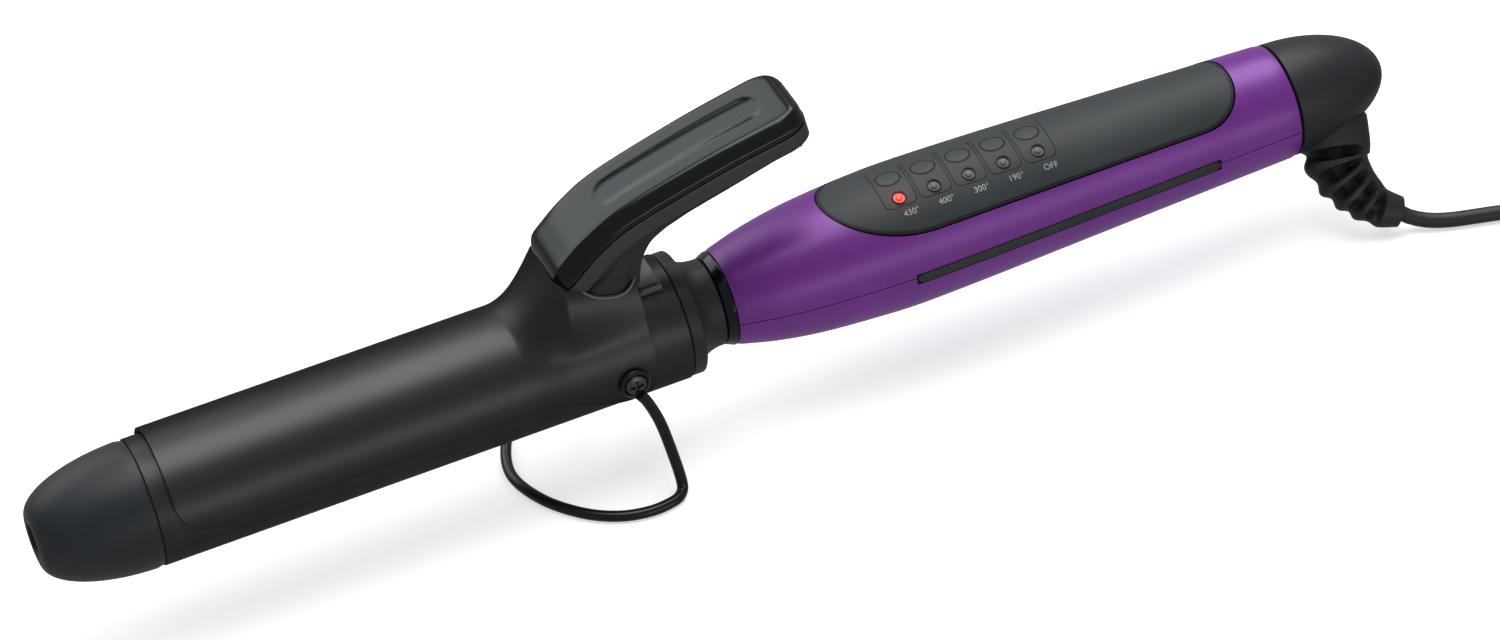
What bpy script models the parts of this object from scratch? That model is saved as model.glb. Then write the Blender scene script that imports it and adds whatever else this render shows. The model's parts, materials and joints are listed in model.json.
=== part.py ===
"""Curling iron with a sprung clamp, a wire stand, a push-button handle and a swivelling cord end.

Metres, +Z up. X runs along the iron from the cool tip (-X) to the cord end (+X), and the
surface that the iron stands on is Z = 0. Under the iron's centre is the origin.
"""
import math

import bmesh
import bpy
from mathutils import Vector

# ---- driving dimensions -------------------------------------------------
AXIS_Z = 0.0334              # height of the iron's centre line over the table
GAP = 0.0003                 # clearance between neighbouring pieces
ROUND = 32                   # sides of the turned pieces

# barrel and cool tip
BARREL_R = 0.0160
BARREL_WALL = 0.0006
BARREL_X = (-0.1521, -0.0157)
TIP_X = -0.1798
TIP_FACE_R = 0.0060          # flat ring at the nose
TIP_HOLE_R = 0.0044
TIP_HOLE_DEPTH = 0.0110
SPIGOT_R = 0.0150

# clamp, hinged on the pivot screws
PIVOT_X = -0.0325
CLAMP_FRONT_X = -0.1478
CLAMP_REAR_X = -0.0258
CLAMP_R = 0.0174             # outer radius over the barrel
CLAMP_WIDE_R = 0.0183        # outer radius at the pivot
CLAMP_SHEET = 0.0010
CLAMP_CORNER = 0.0090        # rounded front corners
RISE_X = (-0.0565, -0.0460)  # where the sheet climbs towards the lever
RISE = 0.0088
EAR_R = 0.0070
PIVOT_HOLE_R = 0.0017

# thumb lever: its top line in the X-Z plane, heights over the iron's axis
LEVER_TOP = ((-0.0478, 0.0290), (-0.0425, 0.0342), (-0.0360, 0.0395), (-0.0263, 0.0446),
             (-0.0040, 0.0510), (0.0130, 0.0547), (0.0220, 0.0563))
LEVER_WIDTH = (0.0220, 0.0235)
COVER_THICK = 0.0060
ARM_THICK = 0.0028
GROOVE_X = (-0.0300, 0.0135)
GROOVE_HALF = 0.0042
GROOVE_DEPTH = 0.0007

# wire stand
WIRE_R = 0.0014
STAND_LEG = ((0.0008, 0.0196, -0.0046), (0.0030, 0.0206, -0.0120), (0.0066, 0.0226, -0.0225),
             (0.0092, 0.0240, -0.0298), (0.0084, 0.0252, -0.0320), (0.0024, 0.0284, -0.0320),
             (-0.0064, 0.0290, -0.0320), (-0.0153, 0.0242, -0.0320), (-0.0239, 0.0124, -0.0320))
STAND_NOSE = (-0.0285, 0.0, -0.0320)
BOSS_R = 0.0037
BOSS_Y = (0.0186, 0.0197)
SCREW_HEAD_R = 0.0026
SCREW_HEAD_Y = (0.0200, 0.0215)
SCREW_SHANK_R = 0.0014

# neck and handle
NECK_X = (-0.0154, -0.0048)
FLANGE_R = 0.0157
NECK_R = 0.0111
BORE_R = 0.0080
RING_X = (-0.0045, -0.0021)
HANDLE_LINE = ((-0.0018, 0.0122), (0.0087, 0.0148), (0.0202, 0.0166), (0.0372, 0.0179),
               (0.0462, 0.0182), (0.0662, 0.0178), (0.1012, 0.0166), (0.1505, 0.0148))
HANDLE_WALL = 0.0020
HANDLE_LIFT = 0.0004         # the handle's back is a little fuller than its belly
STRIP_X = (0.0432, 0.1272)
STRIP_HALF = 0.0013
STRIP_DEPTH = 0.0012

# control panel
PANEL_X = (0.0256, 0.1377)
PANEL_ANGLE = math.radians(56)
PANEL_NOSE = 0.0260
PANEL_TAIL = 0.0130
PANEL_THICK = 0.0016
BUTTON_X = [0.0447 + 0.0094 * k for k in range(5)]
BUTTON_HALF = (0.0031, 0.0025)
BUTTON_PROUD = 0.0004
LED_R = 0.0014
LED_ANGLE = math.radians(-21.5)

# cord end
CAP_X = (0.1511, 0.1798)
CAP_R = 0.0146
SWIVEL_R = 0.0086
RELIEF_SWING = math.radians(40.5)      # from straight down, towards -Y
RELIEF_LINE = ((0.1618, 0.0080), (0.1616, 0.0150), (0.1617, 0.0205), (0.1636, 0.0257),
               (0.1660, 0.0303), (0.1685, 0.0338), (0.1722, 0.0368))
RELIEF_HALF = ((0.0098, 0.0074), (0.0097, 0.0074), (0.0084, 0.0068), (0.0071, 0.0060),
               (0.0059, 0.0053), (0.0049, 0.0046), (0.0032, 0.0032))

# cord, its coil, tie and plug
CORD_R = 0.0020
CORD_LEAD = ((0.1745, -0.0254, 0.0038), (0.1786, -0.0276, 0.0026), (0.1837, -0.0296, 0.0021),
             (0.1897, -0.0315, 0.0021), (0.1959, -0.0334, 0.0021), (0.2070, -0.0373, 0.0021),
             (0.2190, -0.0422, 0.0022), (0.2300, -0.0468, 0.0025))
COIL_CENTRE = (0.2500, -0.0180)
COIL_MEAN_R = 0.0230
COIL_TURNS_WIDE = 4
COIL_BASE = 0.0009           # the coil lies on its tie
COIL_IN = math.radians(252)  # where the lead joins the lowest, outermost turn
COIL_OUT = math.radians(285) # where the tail leaves the top one
TIE_AT = math.radians(120)
TIE_SHEET = 0.0006
TIE_WIDTH = 0.0080
CORD_TAIL = ((0.2695, -0.0486, 0.0142), (0.2795, -0.0452, 0.0118), (0.2880, -0.0420, 0.0092))
PLUG_FACE = (0.3010, -0.0400, 0.0072)  # where the cord enters the plug
PLUG_SIZE = (0.0270, 0.0200, 0.0130)
BLADE = (0.0160, 0.0015, 0.0063)
BLADE_PITCH = 0.0127

made = []


# ---- shape helpers ------------------------------------------------------
def material(name, color, roughness, metallic=0.0, glow=0.0):
    mat = bpy.data.materials.new(name)
    mat.use_nodes = True
    shader = mat.node_tree.nodes["Principled BSDF"]
    shader.inputs["Base Color"].default_value = (*color, 1.0)
    shader.inputs["Roughness"].default_value = roughness
    shader.inputs["Metallic"].default_value = metallic
    if glow:
        shader.inputs["Emission Color"].default_value = (*color, 1.0)
        shader.inputs["Emission Strength"].default_value = glow
    return mat


def finish_object(name, data, mat, sharp=35):
    obj = bpy.data.objects.new(name, data)
    bpy.context.scene.collection.objects.link(obj)
    data.materials.append(mat)
    if hasattr(data, "shade_smooth"):
        data.shade_smooth()
        data.set_sharp_from_angle(angle=math.radians(sharp))
    made.append(obj)
    return obj


def mesh_object(name, bm, mat, sharp=35):
    bmesh.ops.recalc_face_normals(bm, faces=bm.faces)
    data = bpy.data.meshes.new(name)
    bm.to_mesh(data)
    bm.free()
    return finish_object(name, data, mat, sharp)


def add_loft(bm, rings, closed=False):
    """Skin a row of rings that have the same number of points; the ends are capped unless closed."""
    rows = [[bm.verts.new(point) for point in ring] for ring in rings]
    pairs = list(zip(rows, rows[1:]))
    if closed:
        pairs.append((rows[-1], rows[0]))
    count = len(rows[0])
    for low, high in pairs:
        for i in range(count):
            j = (i + 1) % count
            bm.faces.new((low[i], low[j], high[j], high[i]))
    if not closed:
        bm.faces.new(rows[0][::-1])
        bm.faces.new(rows[-1])


def loft(name, rings, mat, closed=False, sharp=35):
    bm = bmesh.new()
    add_loft(bm, rings, closed)
    return mesh_object(name, bm, mat, sharp)


def around_x(x, y=0.0, z=AXIS_Z):
    """Places a turned profile's (along, radius, angle) on an axis parallel to X."""
    return lambda a, r, t: Vector((x + a, y + r * math.sin(t), z + r * math.cos(t)))


def around_y(x, y, z, side=1):
    return lambda a, r, t: Vector((x + r * math.sin(t), y + side * a, z + r * math.cos(t)))


def around_z(x, y, z):
    return lambda a, r, t: Vector((x + r * math.cos(t), y + r * math.sin(t), z + a))


def add_lathe(bm, profile, place, sides=ROUND):
    """Turn a closed outline of (along, radius) points; a radius of 0 is a point on the axis."""
    rows = []
    for along, radius in profile:
        if radius < 1e-7:
            rows.append([bm.verts.new(place(along, 0.0, 0.0))])
        else:
            rows.append([bm.verts.new(place(along, radius, math.tau * k / sides)) for k in range(sides)])
    for low, high in zip(rows, rows[1:] + rows[:1]):
        if len(low) == 1 and len(high) == 1:
            continue
        for k in range(sides):
            j = (k + 1) % sides
            corners = [low[k % len(low)], low[j % len(low)], high[j % len(high)], high[k % len(high)]]
            bm.faces.new(list(dict.fromkeys(corners)))


def lathe(name, profile, place, mat, sides=ROUND, sharp=35):
    bm = bmesh.new()
    add_lathe(bm, profile, place, sides)
    return mesh_object(name, bm, mat, sharp)


def add_box(bm, low, high):
    rings = []
    for z in (low[2], high[2]):
        rings.append([(low[0], low[1], z), (high[0], low[1], z), (high[0], high[1], z), (low[0], high[1], z)])
    add_loft(bm, rings)


def boxes(name, corners, mat):
    bm = bmesh.new()
    for low, high in corners:
        add_box(bm, low, high)
    return mesh_object(name, bm, mat)


def smooth_route(points, spacing):
    """Points at an even spacing along a smooth curve through the given points."""
    knots = [Vector(p) for p in points]
    knots = [2 * knots[0] - knots[1]] + knots + [2 * knots[-1] - knots[-2]]
    dense = []
    for a, b, c, d in zip(knots, knots[1:], knots[2:], knots[3:]):
        for step in range(24):
            t = step / 24
            dense.append(0.5 * (2 * b + (c - a) * t + (2 * a - 5 * b + 4 * c - d) * t * t
                                + (3 * b - a - 3 * c + d) * t ** 3))
    dense.append(knots[-2])
    lengths = [0.0]
    for a, b in zip(dense, dense[1:]):
        lengths.append(lengths[-1] + (b - a).length)
    count = max(2, round(lengths[-1] / spacing))
    route = []
    k = 0
    for n in range(count + 1):
        target = lengths[-1] * n / count
        while k < len(lengths) - 2 and lengths[k + 1] < target:
            k += 1
        span = lengths[k + 1] - lengths[k]
        route.append(dense[k].lerp(dense[k + 1], (target - lengths[k]) / span))
    return route


def tube(name, route, radius, mat, resolution=2):
    curve = bpy.data.curves.new(name, "CURVE")
    curve.dimensions = "3D"
    curve.bevel_depth = radius
    curve.bevel_resolution = resolution
    curve.use_fill_caps = True
    spline = curve.splines.new("POLY")
    spline.points.add(len(route) - 1)
    for point, place in zip(spline.points, route):
        point.co = (*place, 1.0)
    obj = bpy.data.objects.new(name, curve)
    bpy.context.scene.collection.objects.link(obj)
    curve.materials.append(mat)
    made.append(obj)
    return obj


def cut(obj, cutter):
    cutter.hide_render = True
    cutter.display_type = "WIRE"
    change = obj.modifiers.new("cut_" + cutter.name, "BOOLEAN")
    change.operation = "DIFFERENCE"
    change.solver = "EXACT"
    change.object = cutter


def ease(t):
    t = min(1.0, max(0.0, t))
    return t * t * (3 - 2 * t)


# ---- heated end ---------------------------------------------------------
def build_cool_tip(mat):
    nose = []
    reach = BARREL_X[0] - GAP - TIP_X
    for k in range(11):
        angle = math.radians(90) * k / 10
        nose.append((BARREL_X[0] - GAP - reach * math.sin(angle),
                     TIP_FACE_R + (BARREL_R - TIP_FACE_R) * math.cos(angle)))
    hole = [(TIP_X, TIP_HOLE_R), (TIP_X + TIP_HOLE_DEPTH, TIP_HOLE_R), (TIP_X + TIP_HOLE_DEPTH, 0.0)]
    back = [(BARREL_X[0] + 0.0060, 0.0), (BARREL_X[0] + 0.0060, SPIGOT_R), (BARREL_X[0] - GAP, SPIGOT_R)]
    lathe("cool_tip", nose + hole + back, around_x(0.0), mat)


def build_tip_screw(mat):
    base = TIP_X + TIP_HOLE_DEPTH - GAP
    head = [(base, 0.0), (base, 0.0030), (base - 0.0016, 0.0030), (base - 0.0024, 0.0020), (base - 0.0025, 0.0)]
    lathe("tip_screw", head, around_x(0.0), mat, 20)


def build_barrel(mat, pivot_drill):
    inner = BARREL_R - BARREL_WALL
    wall = [(BARREL_X[0], BARREL_R), (BARREL_X[0], inner), (BARREL_X[1], inner), (BARREL_X[1], BARREL_R)]
    obj = lathe("barrel", wall, around_x(0.0), mat, 48)
    cut(obj, pivot_drill)


def build_heater(shell_mat, element_mat):
    """Two half-round aluminium bars that press a flat heating element between them."""
    radius = BARREL_R - BARREL_WALL - 0.0005
    slot = (0.0070, 0.0023)
    for name, sign in (("heater_bar_upper", 1), ("heater_bar_lower", -1)):
        outline = []
        for k in range(13):
            angle = math.radians(-86 + 172 * k / 12)
            outline.append((radius * math.sin(angle), radius * math.cos(angle)))
        floor = outline[0][1]
        outline += [(slot[0], floor), (slot[0], slot[1]), (-slot[0], slot[1]), (-slot[0], floor)]
        rings = [[(x, y, AXIS_Z + sign * z) for y, z in outline] for x in (-0.1430, -0.0560)]
        loft(name, rings, shell_mat)
    boxes("heating_element", [((-0.1410, -0.0066, AXIS_Z - 0.0019), (-0.0580, 0.0066, AXIS_Z + 0.0019))],
          element_mat)


def build_thermostat(mat):
    bead = []
    for k in range(9):
        angle = math.radians(180) * k / 8
        bead.append((-0.0500 - 0.0040 * math.cos(angle), 0.0018 * math.sin(angle)))
    lathe("temperature_sensor", bead, around_x(0.0), mat, 14)


def build_barrel_collar(mat, pivot_drill):
    """Insulating ring inside the barrel, which the pivot screws go into."""
    ring = [(-0.0400, 0.0151), (-0.0400, 0.0095), (-0.0240, 0.0095), (-0.0240, 0.0151)]
    obj = lathe("barrel_collar", ring, around_x(0.0), mat)
    cut(obj, pivot_drill)


def build_leads(mat):
    """Two insulated wires from the heating element through the neck to the circuit board."""
    for name, side in (("heater_lead_near", -1), ("heater_lead_far", 1)):
        points = [(-0.0545, 0.0050 * side, AXIS_Z), (-0.0440, 0.0060 * side, AXIS_Z + 0.0010),
                  (-0.0200, 0.0045 * side, AXIS_Z), (0.0040, 0.0040 * side, AXIS_Z),
                  (0.0200, 0.0050 * side, AXIS_Z + 0.0025), (0.0310, 0.0060 * side, AXIS_Z + 0.0030)]
        tube(name, smooth_route(points, 0.0050), 0.0008, mat, 1)


# ---- clamp --------------------------------------------------------------
def clamp_radius(x, angle):
    """Outer radius of the clamp sheet: it widens at the pivot and climbs to the lever on top."""
    wide = CLAMP_R + (CLAMP_WIDE_R - CLAMP_R) * ease((x - RISE_X[0]) / (RISE_X[1] - RISE_X[0]))
    climb = RISE * min(1.0, max(0.0, (x - RISE_X[0]) / (RISE_X[1] - RISE_X[0]))) ** 1.6
    bump = ease(1.0 - (abs(angle) - math.radians(10)) / math.radians(48))
    return wide + climb * bump ** 1.25


def clamp_half_angle(x):
    half = math.radians(90)
    into = x - CLAMP_FRONT_X
    if into < CLAMP_CORNER:
        missing = CLAMP_CORNER - math.sqrt(CLAMP_CORNER ** 2 - (CLAMP_CORNER - into) ** 2)
        half -= missing / CLAMP_R
    ear = EAR_R ** 2 - (x - PIVOT_X) ** 2
    if ear > 0:
        half += math.sqrt(ear) / CLAMP_WIDE_R
    return half


def build_clamp_plate(mat, pivot_drill):
    stations = [CLAMP_FRONT_X + CLAMP_CORNER * (1 - math.cos(math.radians(90) * k / 6)) for k in range(7)]
    stations += [-0.1000, -0.0620]
    stations += [RISE_X[0] + (RISE_X[1] - RISE_X[0]) * k / 6 for k in range(7)]
    stations += [-0.0420, PIVOT_X - EAR_R + 0.00005]
    stations += [PIVOT_X - EAR_R * math.cos(math.radians(20 * k)) for k in range(1, 8)]
    stations += [CLAMP_REAR_X]
    count = 28
    rings = []
    for x in stations:
        half = clamp_half_angle(x)
        angles = [half * (2 * k / count - 1) for k in range(count + 1)]
        outer = []
        inner = []
        for t in angles:
            r = clamp_radius(x, t)
            outer.append((x, r * math.sin(t), AXIS_Z + r * math.cos(t)))
            inner.append((x, (r - CLAMP_SHEET) * math.sin(t), AXIS_Z + (r - CLAMP_SHEET) * math.cos(t)))
        rings.append(outer + inner[::-1])
    obj = loft("clamp_plate", rings, mat, sharp=40)
    collar = [(-0.0490, 0.0345), (-0.0490, 0.0292), (-0.0465, 0.0264), (-0.0440, 0.0243),
              (-0.0412, 0.0231), (-0.0370, 0.0225), (-0.0240, 0.0220), (-0.0240, 0.0345)]
    rings = [[(x, y, AXIS_Z + z) for x, z in collar] for y in (-0.0150, 0.0150)]
    notch = loft("clamp_notch", rings, mat)
    cut(obj, notch)
    cut(obj, pivot_drill)


def lever_frames(count):
    """Even steps along the lever's top line: place, direction and the normal that points up and out."""
    route = smooth_route([(x, 0.0, z + AXIS_Z) for x, z in LEVER_TOP], 0.0040)
    total = len(route) - 1
    frames = []
    for k in range(count + 1):
        at = total * k / count
        i = min(int(at), total - 1)
        place = route[i].lerp(route[i + 1], at - i)
        ahead = (route[min(i + 2, total)] - route[max(i - 1, 0)]).normalized()
        frames.append((place, ahead, Vector((-ahead.z, 0.0, ahead.x))))
    return frames


def lever_length(frames):
    return sum((b[0] - a[0]).length for a, b in zip(frames, frames[1:]))


def round_end(distance, radius, power=2.2):
    """1 away from an end, falling along a rounded corner to 0 at the end itself."""
    if distance >= radius:
        return 1.0
    return (1 - (1 - distance / radius) ** power) ** (1 / power)


def build_thumb_lever(mat):
    frames = lever_frames(30)
    length = lever_length(frames)
    rings = []
    for k, (place, _, up) in enumerate(frames):
        share = k / (len(frames) - 1)
        edge = max(min(share, 1 - share) * length, 0.0004)
        half = 0.5 * (LEVER_WIDTH[0] + (LEVER_WIDTH[1] - LEVER_WIDTH[0]) * share)
        half *= 0.55 + 0.45 * round_end(edge, 0.0075)
        drop = COVER_THICK * (1 - round_end(edge, 0.0060)) * 0.62
        inside = min(place.x - GROOVE_X[0], GROOVE_X[1] - place.x)
        groove = GROOVE_DEPTH * ease(inside / 0.0012)
        groove_half = GROOVE_HALF * round_end(max(inside, 0.0), GROOVE_HALF, 2.0) + 0.0004
        outline = [(-half + 0.0008, -COVER_THICK), (-half, -COVER_THICK + 0.0010)]
        for step in range(5):
            angle = math.radians(90 * step / 4)
            outline.append((-half + 0.0042 * (1 - math.cos(angle)),
                            -drop - 0.0034 + 0.0030 * math.sin(angle)))
        outline += [(-groove_half - 0.0005, -drop), (-groove_half, -drop - groove)]
        outline += [(-y, z) for y, z in reversed(outline)]
        rings.append([place + Vector((0.0, y, 0.0)) + up * z for y, z in outline])
    loft("thumb_lever", rings, mat, sharp=50)


def build_lever_arm(mat):
    """The matte body under the lever: an arm along the lever and the stem that stands in the clamp."""
    frames = lever_frames(30)[1:-1]
    top_line = []
    low_line = []
    for place, _, up in frames:
        top_line.append(place - up * (COVER_THICK + GAP))
        low_line.append(place - up * (COVER_THICK + GAP + ARM_THICK))
    foot = [(-0.0424, 0.0240), (-0.0414, 0.0213), (-0.0272, 0.0213), (-0.0272, 0.0240)]
    rear = [(-0.0272, 0.0278), (-0.0262, 0.0308), (-0.0238, 0.0334), (-0.0200, 0.0356)]
    rear_run = [p for p in low_line if p.x > -0.0165]
    stem = [Vector((x, 0.0, AXIS_Z + z)) for x, z in foot + rear]
    outline = stem + rear_run + top_line[::-1]
    bm = bmesh.new()
    half_top = 0.5 * LEVER_WIDTH[0] - 0.0009
    rings = []
    for side in (-1, -0.86, 0.86, 1):
        ring = []
        for point in outline:
            height = point.z - AXIS_Z
            half = 0.0074 + (half_top - 0.0074) * ease((height - 0.0215) / 0.0110)
            trim = 0.0007 if abs(side) == 1 else 0.0
            inward = Vector((-0.0300 - point.x, 0.0, AXIS_Z + 0.0340 - point.z)).normalized() * trim
            if point.x > -0.0165:
                inward = Vector((0.0, 0.0, 0.0))
            ring.append(point + inward + Vector((0.0, side * half, 0.0)))
        rings.append(ring)
    add_loft(bm, rings)
    mesh_object("lever_arm", bm, mat, 40)


def build_clamp_spring(mat):
    turns = 5
    steps = 10
    radius = 0.0012
    route = []
    for k in range(turns * steps + 1):
        angle = math.tau * k / steps
        route.append(Vector((PIVOT_X + radius * math.sin(angle), -0.0040 + 0.0080 * k / (turns * steps),
                             AXIS_Z + BARREL_R + GAP + 0.0016 + radius * math.cos(angle))))
    tube("clamp_spring", route, 0.0004, mat, 0)


def build_spring_bracket(mat):
    """Small ribbed bracket on the barrel behind the clamp, which holds the spring's tail."""
    foot_r = BARREL_R + GAP
    rings = []
    for x in (CLAMP_REAR_X + 0.0006, CLAMP_REAR_X + 0.0012, -0.0192, -0.0186):
        low = x in (CLAMP_REAR_X + 0.0006, -0.0186)
        outer = []
        inner = []
        for k in range(21):
            t = math.radians(-25 + 50 * k / 20)
            rib = 0.0005 if k in (1, 3, 5, 15, 17, 19) else 0.0
            hump = 0.0006 * ease(1 - abs(t) / math.radians(12))
            r = foot_r + 0.0009 + rib + hump - (0.0003 if low else 0.0)
            outer.append((x, r * math.sin(t), AXIS_Z + r * math.cos(t)))
            inner.append((x, foot_r * math.sin(t), AXIS_Z + foot_r * math.cos(t)))
        rings.append(outer + inner[::-1])
    loft("spring_bracket", rings, mat, sharp=20)


# ---- pivot and stand ----------------------------------------------------
def build_pivot_screws(mat):
    for name, side in (("pivot_screw_near", -1), ("pivot_screw_far", 1)):
        low, high = SCREW_HEAD_Y
        profile = [(0.0105, 0.0), (0.0105, SCREW_SHANK_R), (low, SCREW_SHANK_R), (low, SCREW_HEAD_R),
                   (low + 0.0008, SCREW_HEAD_R), (high - 0.0002, 0.7 * SCREW_HEAD_R), (high, 0.0)]
        lathe(name, profile, around_y(PIVOT_X, 0.0, AXIS_Z, side), mat, 18)


def build_stand_bosses(mat):
    for name, side in (("stand_boss_near", -1), ("stand_boss_far", 1)):
        low, high = BOSS_Y
        profile = [(low, PIVOT_HOLE_R), (low, BOSS_R), (high - 0.0004, BOSS_R), (high, BOSS_R - 0.0006),
                   (high, PIVOT_HOLE_R)]
        lathe(name, profile, around_y(PIVOT_X, 0.0, AXIS_Z, side), mat, 24)


def build_wire_stand(mat):
    near = [(PIVOT_X + x, -y, AXIS_Z + z) for x, y, z in STAND_LEG]
    nose = [(PIVOT_X + STAND_NOSE[0], STAND_NOSE[1], AXIS_Z + STAND_NOSE[2])]
    far = [(x, -y, z) for x, y, z in reversed(near)]
    route = smooth_route(near + nose + far, 0.0033)
    for point in route:
        point.z = max(point.z, WIRE_R)
    tube("wire_stand", route, WIRE_R, mat)


# ---- neck and handle ----------------------------------------------------
def build_neck(mat):
    outer = [(NECK_X[0], SPIGOT_R), (NECK_X[0], FLANGE_R - 0.0005), (NECK_X[0] + 0.0005, FLANGE_R),
             (NECK_X[0] + 0.0028, FLANGE_R), (NECK_X[0] + 0.0036, FLANGE_R - 0.0006)]
    waist = NECK_X[1] - 0.0006
    start = outer[-1]
    for k in range(1, 8):
        angle = math.radians(90) * k / 7
        outer.append((start[0] + (waist - start[0]) * (1 - math.cos(angle)),
                      start[1] - (start[1] - NECK_R) * math.sin(angle)))
    outer += [(NECK_X[1], NECK_R), (NECK_X[1], 0.0095), (0.0060, 0.0095), (0.0060, BORE_R)]
    inner = [(-0.0220, BORE_R), (-0.0220, SPIGOT_R)]
    lathe("neck", outer + inner, around_x(0.0), mat)


def build_accent_ring(mat):
    ring = [(RING_X[0], 0.0098), (RING_X[0], 0.0110), (RING_X[0] + 0.0003, 0.0113),
            (RING_X[1] - 0.0003, 0.0122), (RING_X[1], 0.0120), (RING_X[1], 0.0098)]
    lathe("accent_ring", ring, around_x(0.0), mat)


def handle_radius(x):
    line = HANDLE_LINE
    x = min(max(x, line[0][0]), line[-1][0])
    k = max(i for i in range(len(line) - 1) if line[i][0] <= x)
    slopes = []
    for i in (k, k + 1):
        low = line[max(i - 1, 0)]
        high = line[min(i + 1, len(line) - 1)]
        slopes.append((high[1] - low[1]) / (high[0] - low[0]))
    span = line[k + 1][0] - line[k][0]
    t = (x - line[k][0]) / span
    return ((2 * t ** 3 - 3 * t ** 2 + 1) * line[k][1] + (t ** 3 - 2 * t ** 2 + t) * span * slopes[0]
            + (3 * t ** 2 - 2 * t ** 3) * line[k + 1][1] + (t ** 3 - t ** 2) * span * slopes[1])


def handle_point(x, angle, offset=0.0):
    """A point over the handle's surface; the angle is from straight up, towards +Y."""
    share = (x - HANDLE_LINE[0][0]) / (HANDLE_LINE[-1][0] - HANDLE_LINE[0][0])
    lift = HANDLE_LIFT * math.sin(math.pi * min(max(share, 0.0), 1.0))
    r = handle_radius(x) + offset
    return Vector((x, r * math.sin(angle), AXIS_Z + lift + r * math.cos(angle)))


def handle_stations():
    first, last = HANDLE_LINE[0][0], HANDLE_LINE[-1][0]
    return [first + (last - first) * (k / 15) ** 1.15 for k in range(16)]


def build_handle_shell(name, centre, mat, cutters):
    count = 18
    rings = []
    for x in handle_stations():
        reach = math.radians(90) - 0.00016 / handle_radius(x)
        angles = [centre + reach * (2 * k / count - 1) for k in range(count + 1)]
        outer = [handle_point(x, t) for t in angles]
        inner = [handle_point(x, t, -HANDLE_WALL) for t in angles]
        rings.append(outer + inner[::-1])
    obj = loft(name, rings, mat)
    for cutter in cutters:
        cut(obj, cutter)


def build_grip_strips(mat):
    for name, side in (("grip_strip_near", -1), ("grip_strip_far", 1)):
        rings = []
        for k in range(13):
            x = STRIP_X[0] + (STRIP_X[1] - STRIP_X[0]) * k / 12
            middle = side * math.radians(90)
            back = handle_point(x, middle, -STRIP_DEPTH + GAP)
            face = handle_point(x, middle, 0.0004)
            half = STRIP_HALF * (0.6 if k in (0, 12) else 1.0)
            ring = []
            for y, z in ((back.y, -half), (face.y - side * 0.0004, -half), (face.y, -half * 0.6),
                         (face.y, half * 0.6), (face.y - side * 0.0004, half), (back.y, half)):
                ring.append((x, y, AXIS_Z + z))
            rings.append(ring)
        loft(name, rings, mat)


def strip_cutter(mat):
    bm = bmesh.new()
    for side in (-1, 1):
        rings = []
        for k in range(13):
            x = STRIP_X[0] - GAP + (STRIP_X[1] - STRIP_X[0] + 2 * GAP) * k / 12
            inside = handle_point(x, side * math.radians(90), -STRIP_DEPTH).y
            outside = handle_point(x, side * math.radians(90), 0.0020).y
            half = STRIP_HALF + GAP
            rings.append([(x, inside, AXIS_Z - half), (x, outside, AXIS_Z - half),
                          (x, outside, AXIS_Z + half), (x, inside, AXIS_Z + half)])
        add_loft(bm, rings)
    return mesh_object("strip_cutter", bm, mat)


def panel_half_angle(x, grow):
    low, high = PANEL_X[0] - grow, PANEL_X[1] + grow
    half = PANEL_ANGLE + grow / handle_radius(x)
    nose = round_end(max(x - low, 0.0), PANEL_NOSE, 2.0)
    tail = round_end(max(high - x, 0.0), PANEL_TAIL, 2.4)
    return half * min(nose, tail)


def panel_stations(grow):
    low, high = PANEL_X[0] - grow, PANEL_X[1] + grow
    nose = [low + PANEL_NOSE * (1 - math.cos(math.radians(t))) for t in (6, 15, 27, 40, 54, 70, 90)]
    middle = [low + PANEL_NOSE + (high - PANEL_TAIL - low - PANEL_NOSE) * k / 5 for k in range(1, 5)]
    tail = [high - PANEL_TAIL * (1 - math.cos(math.radians(t))) for t in (90, 66, 46, 28, 12)]
    return nose + middle + tail


def panel_slab(name, grow, top, bottom, mat):
    count = 14
    rings = []
    for x in panel_stations(grow):
        half = panel_half_angle(x, grow)
        angles = [half * (2 * k / count - 1) for k in range(count + 1)]
        outer = [handle_point(x, t, top) for t in angles]
        inner = [handle_point(x, t, bottom) for t in angles]
        rings.append(outer + inner[::-1])
    return loft(name, rings, mat)


def oval_rings(x, half, low, high, grow=0.0, sides=20):
    rings = []
    for z, shrink in ((low, 0.0), (high - 0.0004, 0.0), (high, 0.0005)):
        ring = []
        for k in range(sides):
            t = math.tau * k / sides
            ring.append((x + (half[0] + grow - shrink) * math.cos(t), (half[1] + grow - shrink) * math.sin(t), z))
        rings.append(ring)
    return rings


def panel_drills(mat):
    """The button and indicator holes, as one set of separate plugs."""
    bm = bmesh.new()
    for x in BUTTON_X:
        top = handle_point(x, 0.0).z
        add_loft(bm, oval_rings(x, BUTTON_HALF, top - 0.0060, top + 0.0030, GAP))
        add_lathe(bm, led_profile(LED_R + GAP, -0.0060, 0.0030), led_place(x), 16)
    return mesh_object("panel_drills", bm, mat)


def led_profile(radius, low, high):
    return [(low, 0.0), (low, radius), (high, radius), (high + 0.0003, radius * 0.6), (high + 0.0003, 0.0)]


def led_place(x):
    centre = handle_point(x, LED_ANGLE)
    out = Vector((0.0, math.sin(LED_ANGLE), math.cos(LED_ANGLE)))
    across = Vector((0.0, math.cos(LED_ANGLE), -math.sin(LED_ANGLE)))
    return lambda a, r, t: centre + out * a + Vector((r * math.cos(t), 0.0, 0.0)) + across * r * math.sin(t)


def build_panel(mat, drills):
    obj = panel_slab("control_panel", -GAP, -0.0001, -PANEL_THICK, mat)
    cut(obj, drills)


def build_buttons(mat):
    for k, x in enumerate(BUTTON_X, 1):
        top = handle_point(x, 0.0).z
        loft(f"button_{k}", oval_rings(x, BUTTON_HALF, top - 0.0035, top + BUTTON_PROUD), mat)


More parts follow.
